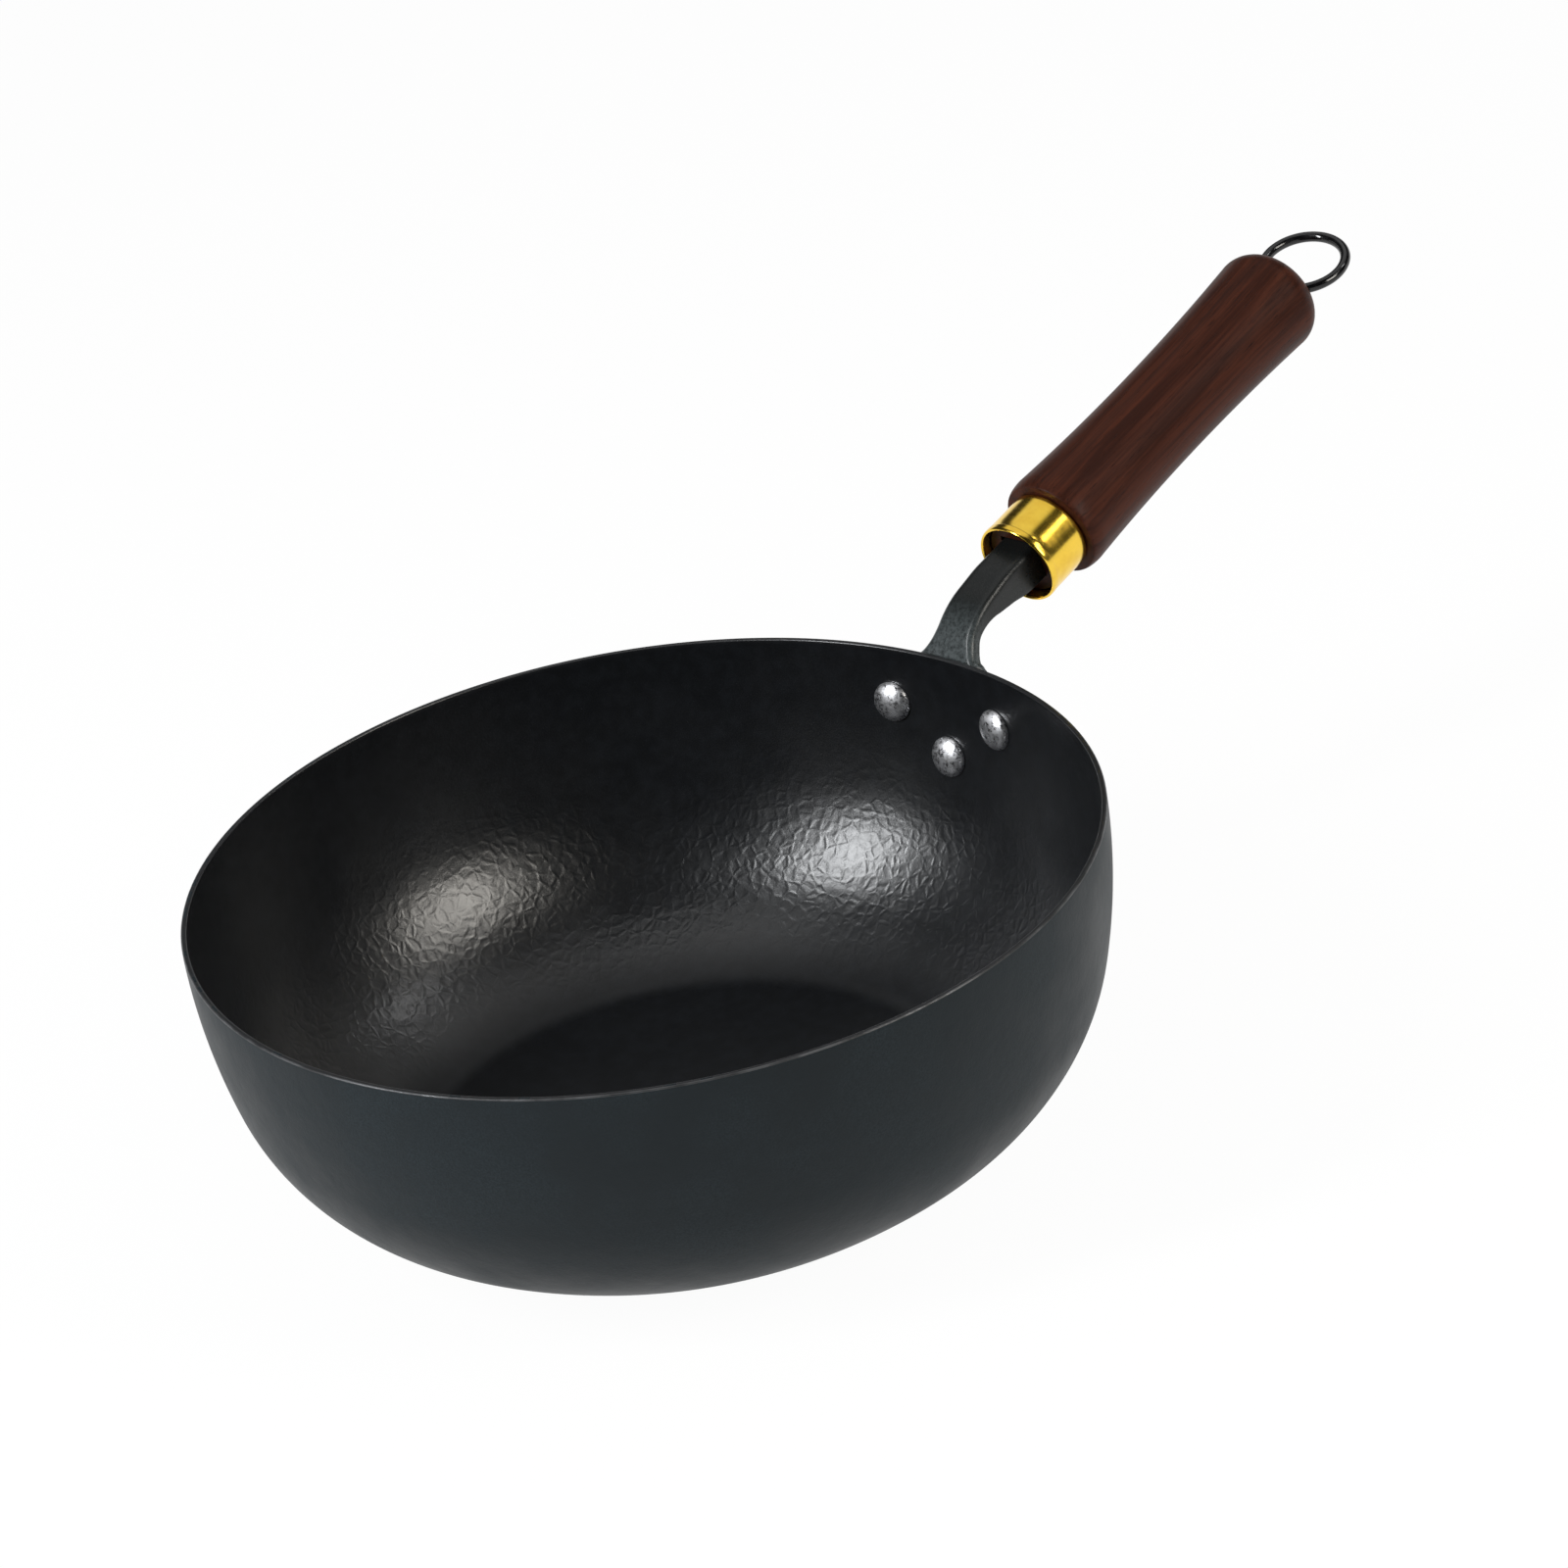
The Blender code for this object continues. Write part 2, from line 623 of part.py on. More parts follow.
def channel_pocket(handle_axis):
    """Square pocket in the tenon that takes the end of the channel."""
    half_width = CHANNEL_WIDTH / 2 + SEAT_GAP
    top = -CHANNEL_TOP_ABOVE_AXIS - SEAT_GAP
    bottom = CHANNEL_DEPTH - CHANNEL_TOP_ABOVE_AXIS + SEAT_GAP
    low = (top, -half_width, 0.0)
    high = (bottom, half_width, CHANNEL_INSERTION + SEAT_GAP)
    return box_cutter("channel_pocket", low, high, handle_axis)


def eye_slot(handle_axis):
    """Round-bottomed slot across the end of the handle that takes the back of the ring."""
    half_width = EYE_WIRE_DIAMETER / 2 + SEAT_GAP
    slot_radius = EYE_RADIUS + half_width
    slot = cylinder_cutter("eye_slot", slot_radius, -half_width, half_width, HANDLE_SEGMENTS, handle_axis)
    slot.matrix_basis = eye_frame()
    return slot


# Hanging eye and its nut


def eye_frame():
    """Centre of the ring on the handle axis, with Z square to the ring."""
    place = Matrix.Translation((0.0, 0.0, handle_end_at() + EYE_STANDOFF))
    return place @ Matrix.Rotation(EYE_ROLL, 4, "Z") @ Matrix.Rotation(-math.pi / 2, 4, "Y")


def add_hanging_eye(mat, handle_axis):
    wire = EYE_WIRE_DIAMETER / 2
    section = ellipse_arc((EYE_RADIUS, 0.0), (wire, wire), 0.0, math.tau, WIRE_SEGMENTS)[:-1]
    mesh = turned_mesh("hanging_eye", section, HANDLE_SEGMENTS, closed=True)
    eye = new_object("hanging_eye", mesh, mat, handle_axis)
    eye.matrix_basis = eye_frame()
    ring_back = handle_end_at() + EYE_STANDOFF - EYE_RADIUS
    rod = cylinder_cutter("eye_rod", ROD_DIAMETER / 2, ROD_END_AT, ring_back, ROD_SEGMENTS, handle_axis)
    combine(eye, rod, "UNION")
    return eye


def add_clamp_nut(mat, handle_axis):
    corner = NUT_ACROSS_FLATS / 2 / math.cos(math.pi / HEX_SIDES)
    profile = [
        (corner - NUT_CHAMFER, 0.0),
        (corner, NUT_CHAMFER),
        (corner, NUT_THICKNESS - NUT_CHAMFER),
        (corner - NUT_CHAMFER, NUT_THICKNESS),
    ]
    nut = new_object("clamp_nut", turned_mesh("clamp_nut", profile, HEX_SIDES), mat, handle_axis)
    nut.location.z = CHANNEL_INSERTION - END_WALL_INSET - BRACKET_SHEET - SEAT_GAP - NUT_THICKNESS
    bore_radius = ROD_DIAMETER / 2 + SEAT_GAP
    bore = cylinder_cutter("nut_bore", bore_radius, 0.0, CHANNEL_INSERTION, ROD_SEGMENTS, handle_axis)
    combine(nut, bore, "DIFFERENCE")
    return nut


def clear_scene():
    for obj in list(bpy.data.objects):
        bpy.data.objects.remove(obj, do_unlink=True)


def main():
    clear_scene()
    iron = material("dark_iron", colour=(0.022, 0.024, 0.026), roughness=0.35, metallic=0.85)
    black_steel = material("black_steel", colour=(0.018, 0.019, 0.020), roughness=0.42, metallic=0.80)
    rivet_steel = material("polished_steel", colour=(0.72, 0.73, 0.74), roughness=0.12, metallic=1.0)
    brass = material("polished_brass", colour=(0.78, 0.58, 0.20), roughness=0.14, metallic=1.0)
    wood = material("dark_wood", colour=(0.085, 0.030, 0.022), roughness=0.32, metallic=0.0)
    black_wire = material("black_wire", colour=(0.012, 0.012, 0.014), roughness=0.18, metallic=0.3)
    nut_steel = material("plain_steel", colour=(0.45, 0.45, 0.46), roughness=0.35, metallic=1.0)

    stations = bracket_path()
    handle_axis = bpy.data.objects.new("handle_axis", None)
    bpy.context.scene.collection.objects.link(handle_axis)
    handle_axis.matrix_world = mouth_frame(stations)

    bowl = add_bowl(iron)
    bracket = add_bracket(black_steel, stations, handle_axis)
    add_rivets(rivet_steel, (bowl, bracket))
    add_ferrule(brass, handle_axis)
    add_wooden_handle(wood, handle_axis)
    add_hanging_eye(black_wire, handle_axis)
    add_clamp_nut(nut_steel, handle_axis)


main()
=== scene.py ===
"""A deep iron wok, dressed: detailed pieces, procedural finishes and a plain pale studio.

Metres, +Z up.  The origin is the centre of the flat base, and the handle reaches out along +X.
"""

from math import acos, asin, atan2, cos, hypot, pi, radians, sin, sqrt, tan, tau

import bmesh
import bpy
from bpy.props import FloatProperty, FloatVectorProperty, IntProperty, PointerProperty
from bpy.types import NodeSocket, Operator, Panel, PropertyGroup, Scene
from mathutils import Matrix, Vector


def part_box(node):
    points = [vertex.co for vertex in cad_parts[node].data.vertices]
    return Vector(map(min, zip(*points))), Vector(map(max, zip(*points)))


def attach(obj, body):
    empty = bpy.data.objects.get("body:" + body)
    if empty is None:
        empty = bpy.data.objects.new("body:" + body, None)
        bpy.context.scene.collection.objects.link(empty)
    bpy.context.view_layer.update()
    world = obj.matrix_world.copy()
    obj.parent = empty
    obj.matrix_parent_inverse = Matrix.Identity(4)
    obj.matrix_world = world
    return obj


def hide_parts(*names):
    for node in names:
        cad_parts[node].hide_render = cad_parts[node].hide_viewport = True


bl_info = {
    "name": "Iron wok",
    "version": (1, 0, 0),
    "blender": (4, 5, 0),
    "location": "View3D > Sidebar > Wok",
    "description": "Builds the detailed pieces, finishes and studio of a riveted iron wok",
    "category": "Add Mesh",
}

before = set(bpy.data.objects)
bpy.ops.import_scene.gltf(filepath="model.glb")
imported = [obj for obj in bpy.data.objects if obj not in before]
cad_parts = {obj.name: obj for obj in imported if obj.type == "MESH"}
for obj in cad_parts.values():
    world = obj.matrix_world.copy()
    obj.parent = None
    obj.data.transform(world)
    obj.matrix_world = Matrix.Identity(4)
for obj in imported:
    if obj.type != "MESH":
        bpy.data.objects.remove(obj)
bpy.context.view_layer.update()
BOWL_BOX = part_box("wok_bowl")

SEAT_GAP = 0.0003

# Bowl: four tangent arcs from the edge of the flat base up to the rim
BASE_RADIUS = 0.083
BASE_CORNER_RADIUS = 0.018
BASE_CORNER_TURN = radians(30.0)
LOWER_WALL_TURN = radians(7.5)
KNUCKLE_RADIUS = 0.065
KNUCKLE_TURN = radians(39.0)
UPPER_WALL_TURN = radians(14.6)
RIM_ROUNDING = 0.0005

# Rivets: depths are measured down from the rim
UPPER_DEPTH = 0.019
UPPER_SPACING = 0.044
LOWER_DEPTH = 0.034
RIVET_SHANK_DIAMETER = 0.0056
RIVET_TAIL_DIAMETER = 0.0100
RIVET_TAIL_HEIGHT = 0.0018
RIVET_SINK = 0.0002

# Bracket: a plate wrapped on the wall that runs into a channel strap
SHEET = 0.0020
SHEET_BEND = 0.0024
SHEET_ROUNDING = 0.00045
WING_MARGIN = 0.0085
TIP_RADIUS = 0.0100
TIP_FROM = radians(85.0)
TIP_TO = radians(46.0)
STRAP_ROOT_WIDTH = 0.0232
NECK_WIDTH = 0.0155
NECK_LENGTH = 0.0120
CHANNEL_WIDTH = 0.0142
CHANNEL_DEPTH = 0.0126
NECK_FLANGE_DEPTH = 0.0044
CHANNEL_TOP = 0.0068  # above the handle's axis
FLANGE_GROWTH_START = 0.0082
FLANGE_RUN_OUT = 0.0100
FLANGE_FULL_TURN_AT = 0.0040
RIM_BEND_DROP = 0.0012
RIM_BEND_RADIUS = 0.0067
RISE_ANGLE = radians(56.9)
RISE_LENGTH = 0.0157
ELBOW_RADIUS = 0.0292
REACH_ANGLE = radians(22.2)
REACH_LENGTH = 0.0188
WRIST_RADIUS = 0.0400
STRAP_END_LENGTH = 0.0111
MOUTH_ALONG = RISE_LENGTH + REACH_LENGTH + STRAP_END_LENGTH
CHANNEL_INSERTION = 0.0145
END_WALL_INSET = 0.0003

# Handle: distances along its axis are measured from the mouth of the ferrule
HANDLE_ANGLE = radians(14.8)
FERRULE_LENGTH = 0.0183
FERRULE_DIAMETER = 0.0290
FERRULE_WALL = 0.0010
LIP_DIAMETER = 0.0293
LIP_LENGTH = 0.0024
TENON_SETBACK = 0.0040
HANDLE_LENGTH = 0.1321
SHOULDER_AT = FERRULE_LENGTH + SEAT_GAP
HANDLE_END_AT = SHOULDER_AT + HANDLE_LENGTH
SHOULDER_DIAMETER = 0.0336
SHOULDER_ROUNDING = 0.0050
FRONT_DIAMETER = 0.0359
WAIST_DIAMETER = 0.0326
WAIST_AT = 0.0595
REAR_DIAMETER = 0.0364
END_ROUNDING = 0.0095

# Hanging eye and its nut
EYE_RADIUS = 0.0141
EYE_STANDOFF = 0.0139
EYE_ROLL = radians(5.3)
ROD_DIAMETER = 0.0040
ROD_END_AT = 0.0055

# Smoothness
BOWL_SEGMENTS = 256
HANDLE_SEGMENTS = 128
RIVET_SEGMENTS = 64
WIRE_SEGMENTS = 32
WALL_PIECES = (14, 14, 30, 30)
FLAT_PIECES = 8
RIM_PIECES = 5
TIP_ROWS = 10
PLATE_ROWS = 44
SMOOTH_BELOW = radians(35.0)
BEVEL_ABOVE = radians(60.0)
BEVEL_SEGMENTS = 3
MERGE_DISTANCE = 0.00001

# Finish inside the bowl: heights between which the floor's finish turns into the wall's
SHEEN_HEIGHTS = (0.0016, 0.0130)
ROUGHNESS_HEIGHTS = (0.0018, 0.0180)
PEBBLE_HEIGHTS = (0.0020, 0.0160)
PEBBLE_FADE = 0.040
PEBBLE_DEPTH = 0.00009

# Camera, world and lamps
CAMERA_PLACE = (-0.8573, -0.9762, 0.7837)
CAMERA_TURN = tuple(radians(angle) for angle in (62.400, 8.292, -47.595))
CAMERA_LENS = 112.5
ROOM_BEFORE = (-0.676, -0.737, 0.0)
PALE_CEILING = (0.2870, 0.2408, 0.9272)
WORLD_LIGHT = 0.34
MIRROR_DARK = 0.03
MIRROR_PALE = 0.85
FLOOR_WHITE = 0.96
FLOOR_HALF_SIZE = 9.0
WHITE = (1.0, 1.0, 1.0)
LAMP_TARGET = Vector((0.06, 0.0, 0.06))
LAMP_DISTANCE = 1.5
# Each lamp: name, azimuth, elevation, width, height, radiance, tint
LAMPS = (
    ("left_lamp", 161.0, 34.0, 0.22, 0.92, 33.6, (0.96, 0.98, 1.0)),
    ("right_lamp", -75.5, 30.0, 0.54, 0.58, 11.4, (1.0, 0.96, 0.89)),
    ("side_lamp", -58.5, 42.0, 0.12, 0.26, 12.0, (1.0, 0.98, 0.93)),
    ("small_lamp", -24.3, 45.8, 0.18, 0.18, 11.0, WHITE),
    ("top_lamp", 150.7, 80.0, 0.26, 0.80, 1.1, WHITE),
)


# Sizes and colours that a user may change


def length(name, description, default):
    return FloatProperty(
        name=name, description=description, default=default, min=0.0, unit="LENGTH", precision=5
    )


def colour(name, description, default):
    return FloatVectorProperty(
        name=name, description=description, default=default, min=0.0, max=1.0, subtype="COLOR"
    )


class WokSizes(PropertyGroup):
    rim_radius: length("Rim radius", "Outer radius of the bowl at its rim", BOWL_BOX[1].x)
    bowl_height: length("Bowl height", "Height of the rim above the base", BOWL_BOX[1].z)
    bowl_wall: length("Bowl wall", "Thickness of the bowl's iron", 0.0018)
    pebble: length("Wall pebble", "Width of one pebble on the lower wall", 0.0036)
    pebble_top: length("Pebble top", "Height at which the pebbling has run out", 0.071)
    rivet_head: length("Rivet head", "Diameter of a rivet's domed head", 0.0134)
    rivet_dome: length("Rivet dome", "Height of a rivet's domed head", 0.0030)
    eye_wire: length("Eye wire", "Diameter of the hanging eye's wire", 0.0035)
    bowl_segments: IntProperty(
        name="Bowl segments", description="Facets round the bowl", default=BOWL_SEGMENTS, min=24
    )


class WokColours(PropertyGroup):
    inside: colour("Inside", "Seasoned iron inside the bowl", (0.0033, 0.0039, 0.0049))
    outside: colour("Outside", "Iron outside the bowl", (0.0080, 0.0120, 0.0145))
    rim: colour("Rim", "Bare edge of the rim", (0.080, 0.082, 0.086))
    bracket: colour("Bracket", "Black-finished steel", (0.007, 0.008, 0.008))
    bracket_worn: colour("Worn bracket", "Greyed steel beside the rim", (0.062, 0.074, 0.076))
    rivets: colour("Rivets", "Polished steel", (0.88, 0.88, 0.90))
    brass: colour("Brass", "Polished brass of the ferrule", (0.92, 0.62, 0.08))
    wood_dark: colour("Dark grain", "Dark streaks of the handle", (0.0240, 0.0070, 0.0040))
    wood_light: colour("Light grain", "Lighter streaks of the handle", (0.0540, 0.0148, 0.0074))
    wire: colour("Hanging eye", "Glossy black finish of the wire", (0.003, 0.003, 0.0035))
    nut: colour("Nut", "Plain steel of the clamp nut", (0.42, 0.42, 0.43))
    floor: colour("Floor", "Pale floor of the studio", (0.90, 0.90, 0.90))


def sizes():
    return bpy.context.scene.wok_sizes


def colours():
    return bpy.context.scene.wok_colours


# Shape helpers


def eased(x, x0, x1, y0, y1):
    """Value that leaves y0 at x0 and arrives at y1 at x1 with no slope at either end."""
    share = min(max((x - x0) / (x1 - x0), 0.0), 1.0)
    return y0 + (y1 - y0) * share * share * (3.0 - 2.0 * share)


def spaced(start, end, pieces):
    """Evenly spaced values from start to end, both included."""
    return [start + (end - start) * i / pieces for i in range(pieces + 1)]


def ellipse_arc(centre, radii, start, end, pieces):
    """Points (r, z) on an elliptical arc between two angles."""
    return [
        (centre[0] + radii[0] * cos(a), centre[1] + radii[1] * sin(a))
        for a in spaced(start, end, pieces)
    ]


class WallArc:
    """One arc of the outer wall: the tangent turns from `start` to `end` above the horizontal."""

    def __init__(self, r, z, radius, start, end):
        self.centre_r = r - radius * sin(start)
        self.centre_z = z + radius * cos(start)
        self.radius = radius
        self.start = start
        self.end = end

    def point(self, angle):
        r = self.centre_r + self.radius * sin(angle)
        z = self.centre_z - self.radius * cos(angle)
        return r, z, angle


def arc_reach(start, end):
    """How far out and up an arc of unit radius carries the wall while its tangent turns."""
    return Vector((sin(end) - sin(start), cos(start) - cos(end)))


def wall_arcs():
    """Arcs of the outer wall, from the edge of the flat base to the rim."""
    angles = [0.0]
    for turn in (BASE_CORNER_TURN, LOWER_WALL_TURN, KNUCKLE_TURN, UPPER_WALL_TURN):
        angles.append(angles[-1] + turn)
    corner, lower, knuckle, upper = (arc_reach(*pair) for pair in zip(angles, angles[1:]))
    whole = Vector((sizes().rim_radius - BASE_RADIUS, sizes().bowl_height))
    walls = whole - BASE_CORNER_RADIUS * corner - KNUCKLE_RADIUS * knuckle
    spread = lower.cross(upper)
    lower_radius = walls.cross(upper) / spread
    upper_radius = lower.cross(walls) / spread
    radii = (BASE_CORNER_RADIUS, lower_radius, KNUCKLE_RADIUS, upper_radius)
    arcs = []
    r, z = BASE_RADIUS, 0.0
    for radius, start, end in zip(radii, angles, angles[1:]):
        arcs.append(WallArc(r, z, radius, start, end))
        r, z, _ = arcs[-1].point(end)
    return arcs


def wall_at(depth):
    """Outer radius and tangent angle of the wall at a depth below the rim."""
    height = sizes().bowl_height - depth
    for arc in reversed(wall_arcs()):
        if height >= arc.point(arc.start)[1]:
            break
    angle = acos((arc.centre_z - height) / arc.radius)
    return arc.point(angle)[0], angle


# Mesh helpers


def plain_object(name, data):
    obj = bpy.data.objects.new(name, data)
    bpy.context.scene.collection.objects.link(obj)
    return obj


def object_from(name, bm):
    """A plain object made from a bmesh, which is freed."""
    mesh = bpy.data.meshes.new(name)
    bm.to_mesh(mesh)
    bm.free()
    return plain_object(name, mesh)


def evaluated_mesh(obj):
    """The mesh that the object's modifiers make, as plain data.  The object itself is removed."""
    bpy.context.view_layer.update()
    graph = bpy.context.evaluated_depsgraph_get()
    mesh = bpy.data.meshes.new_from_object(obj.evaluated_get(graph))
    mesh.name = obj.name
    bpy.data.objects.remove(obj)
    return mesh


def edited(mesh, change):
    """The mesh after a change to it as a bmesh: round sides smooth, real edges sharp."""
    bm = bmesh.new()
    bm.from_mesh(mesh)
    change(bm)
    bm.to_mesh(mesh)
    bm.free()
    mesh.shade_smooth()
    mesh.set_sharp_from_angle(angle=SMOOTH_BELOW)
    return mesh


def faces_out(mesh):
    """The mesh of a closed shell once all its faces point out."""
    return edited(mesh, lambda bm: bmesh.ops.recalc_face_normals(bm, faces=bm.faces))


def finished(name, mesh, materials, slot, *nodes):
    """A finished piece: it rides with the wok and stands for its CAD nodes.  Its slot is not used.
    """
    mesh.materials.clear()
    for mat in materials:
        mesh.materials.append(mat)
    obj = plain_object(name, mesh)
    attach(obj, "root")
    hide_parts(*nodes)
    return obj


def grow(obj, group, inputs):
    """Put a Geometry Nodes tree on an object and set its named inputs by their identifiers."""
    modifier = obj.modifiers.new(group.name, "NODES")
    modifier.node_group = group
    sockets = {
        item.name: item.identifier
        for item in group.interface.items_tree
        if item.item_type == "SOCKET" and item.in_out == "INPUT"
    }
    for name, value in inputs.items():
        modifier[sockets[name]] = value


def carved(obj, *cutters, operation="DIFFERENCE"):
    """Closed mesh of an object once its cutters are taken from it, or joined to it."""
    for cutter in cutters:
        modifier = obj.modifiers.new(cutter.name, "BOOLEAN")
        modifier.operation = operation
        modifier.solver = "EXACT"
        modifier.object = cutter
        cutter.hide_render = True
    mesh = evaluated_mesh(obj)
    for cutter in cutters:
        bpy.data.objects.remove(cutter)
    return faces_out(mesh)


def add_box(bm, low, high):
    """Add a box between two corners, and return its vertices."""
    low, high = Vector(low), Vector(high)
    made = bmesh.ops.create_cube(bm, size=1.0)["verts"]
    bmesh.ops.scale(bm, vec=high - low, verts=made)
    bmesh.ops.translate(bm, vec=(low + high) / 2, verts=made)
    return made


# Node tree helpers


class Tree:
    """Adds nodes to a node tree.  An input is a plain value or another node's output."""

    def __init__(self, tree):
        self.tree = tree

    def plug(self, socket, value):
        """Link an output to a socket, or set the socket's plain value."""
        if isinstance(value, NodeSocket):
            self.tree.links.new(value, socket)
        elif socket.type == "RGBA":
            socket.default_value = (*value, 1.0)
        else:
            socket.default_value = value

    def add(self, kind, inputs=None, output=0, **settings):
        node = self.tree.nodes.new(kind)
        for name, value in settings.items():
            setattr(node, name, value)
        for key, value in (inputs or {}).items():
            self.plug(node.inputs[key], value)
        return node.outputs[output]

    def maths(self, operation, first, second):
        return self.add("ShaderNodeMath", {0: first, 1: second}, operation=operation)

    def times(self, first, second):
        return self.maths("MULTIPLY", first, second)

    def vector(self, operation, first, second, output=0):
        inputs = {0: first, 1: second}
        return self.add("ShaderNodeVectorMath", inputs, output, operation=operation)

    def axis(self, value, name):
        """One coordinate of a vector: X, Y or Z."""
        return self.add("ShaderNodeSeparateXYZ", {"Vector": value}, name)

    def mapped(self, value, start, end, low=0.0, high=1.0, smooth=True):
        """Value carried from start..end to low..high, and held at the ends."""
        inputs = {"Value": value, "From Min": start, "From Max": end}
        inputs.update({"To Min": low, "To Max": high})
        way = "SMOOTHSTEP" if smooth else "LINEAR"
        return self.add("ShaderNodeMapRange", inputs, interpolation_type=way, clamp=True)

    def noise(self, place, scale, detail=3.0, roughness=0.55, output="Fac"):
        inputs = {"Vector": place, "Scale": scale, "Detail": detail, "Roughness": roughness}
        return self.add("ShaderNodeTexNoise", inputs, output)


class Finish(Tree):
    """A material: plain values on its shader, and nodes for its detail."""

    def __init__(self, name, base, roughness, metallic=0.0, specular=0.5):
        self.mat = bpy.data.materials.new(name)
        self.mat.use_nodes = True
        super().__init__(self.mat.node_tree)
        self.shader = self.tree.nodes["Principled BSDF"]
        plain = {"Roughness": roughness, "Metallic": metallic, "Specular_IOR_Level": specular}
        self.dressed(Base_Color=base, **plain)

    def dressed(self, **values):
        """The material, once the named inputs of its shader are set or plugged."""
        for key, value in values.items():
            self.plug(self.shader.inputs[key.replace("_", " ")], value)
        return self.mat

    def place(self):
        """The piece's own coordinates."""
        return self.add("ShaderNodeTexCoord", output="Object")

    def blend(self, share, first, second):
        """Mix of two colours, which are the node's sockets 6 and 7."""
        inputs = {"Factor": share, 6: first, 7: second}
        return self.add("ShaderNodeMix", inputs, 2, data_type="RGBA")

    def raised(self, *layers):
        """Normal that each (height, distance) raises in turn."""
        inputs = {"Strength": 1.0}
        for height, distance in layers:
            inputs.update(Height=height, Distance=distance)
            inputs["Normal"] = self.add("ShaderNodeBump", inputs)
        return inputs["Normal"]

    def fibres(self, place, across, along, detail=3.0):
        """Noise drawn out along Z, or flattened across it."""
        stretched = self.vector("MULTIPLY", place, (across, across, along))
        return self.noise(stretched, 1.0, detail)


def toned(value, factor):
    """A colour made darker or lighter."""
    return tuple(channel * factor for channel in value)


# Finishes


def pebbles(tree, place, size):
    """Low uneven pebbles about `size` wide, parted by soft creases that bend a little."""
    drift = tree.noise(place, 0.7 / size, detail=0.0, output="Color")
    centred = tree.vector("SUBTRACT", drift, (0.5, 0.5, 0.5))
    bent = tree.vector("MULTIPLY", centred, (size * 0.7,) * 3)
    warped = tree.vector("ADD", place, bent)
    inputs = {"Vector": warped, "Scale": 1.0 / size, "Randomness": 0.85}
    edge = tree.add("ShaderNodeTexVoronoi", inputs, "Distance", feature="DISTANCE_TO_EDGE")
    swell = tree.times(tree.noise(place, 0.9 / size, detail=1.0), 1.3)
    return tree.maths("ADD", tree.mapped(edge, 0.0, 0.30, 0.0, 0.6), swell)


def seasoned_inside():
    """Near-black seasoned iron: glossy, pebbled low on the wall and smooth towards the rim."""
    base, top = colours().inside, sizes().pebble_top
    tree = Finish("seasoned_inside", base, 0.29, specular=0.75)
    place = tree.place()
    height = tree.axis(place, "Z")
    ragged = tree.mapped(tree.noise(place, 60.0), 0.0, 1.0, -0.015, 0.015, smooth=False)
    level = tree.maths("ADD", height, ragged)
    above_floor = tree.mapped(height, *PEBBLE_HEIGHTS, 0.08, 1.0)
    fade = tree.mapped(level, top - PEBBLE_FADE, top, 1.0, 0.06)
    relief = tree.times(pebbles(tree, place, sizes().pebble), above_floor)
    relief = tree.times(relief, fade)
    grain = tree.noise(place, 1400.0, detail=2.0)
    swell = tree.noise(place, 26.0, detail=1.0)
    patchy = tree.mapped(tree.noise(place, 48.0, detail=4.0), 0.3, 0.7, -0.02, 0.02)
    by_height = tree.mapped(height, *ROUGHNESS_HEIGHTS, 0.41, 0.32)
    shade = tree.mapped(tree.noise(place, 220.0, detail=4.0), 0.35, 0.75)
    return tree.dressed(
        Base_Color=tree.blend(shade, base, toned(base, 1.7)),
        Roughness=tree.maths("ADD", by_height, patchy),
        Specular_IOR_Level=tree.mapped(height, *SHEEN_HEIGHTS, 0.28, 0.75),
        Normal=tree.raised((relief, PEBBLE_DEPTH), (grain, 0.00003), (swell, 0.0003)),
    )


def iron_outside():
    """Satin slate-black iron with a fine grain and faint cloudy patches."""
    base = colours().outside
    tree = Finish("iron_outside", base, 0.48, specular=0.15)
    place = tree.place()
    grain = tree.noise(place, 1700.0)
    cloud = tree.noise(place, 34.0, detail=5.0)
    rolled = tree.noise(place, 190.0, detail=2.0)
    share = tree.times(tree.mapped(cloud, 0.35, 0.75), tree.mapped(grain, 0.3, 0.7))
    return tree.dressed(
        Base_Color=tree.blend(share, base, toned(base, 1.7)),
        Roughness=tree.mapped(cloud, 0.3, 0.7, 0.43, 0.54),
        Normal=tree.raised((grain, 0.00005), (rolled, 0.00012)),
    )


def bare_rim():
    """The edge where the finish has been ground back to grey iron."""
    base = colours().rim
    tree = Finish("bare_rim", base, 0.40, metallic=0.5)
    place = tree.place()
    wear = tree.mapped(tree.noise(place, 90.0, detail=4.0), 0.35, 0.65)
    scratch = tree.noise(place, 900.0)
    return tree.dressed(
        Base_Color=tree.blend(wear, toned(base, 0.35), base),
        Roughness=tree.mapped(scratch, 0.3, 0.7, 0.30, 0.48),
        Normal=tree.raised((scratch, 0.00004)),
    )


def black_bracket():
    """Black-finished pressed steel, satin, and mottled grey-green where it has worn by the rim."""
    base, rim = colours().bracket, sizes().rim_radius
    tree = Finish("black_bracket", base, 0.30, specular=0.28)
    place = tree.place()
    patch = tree.noise(place, 760.0, detail=5.0, roughness=0.75)
    near_rim = tree.mapped(tree.axis(place, "X"), rim + 0.003, rim + 0.017, 1.0, 0.0)
    share = tree.times(near_rim, tree.mapped(patch, 0.30, 0.70, 0.25, 1.0))
    return tree.dressed(
        Base_Color=tree.blend(share, base, colours().bracket_worn),
        Roughness=tree.mapped(patch, 0.3, 0.7, 0.24, 0.38),
        Normal=tree.raised((tree.noise(place, 1500.0), 0.00004)),
    )


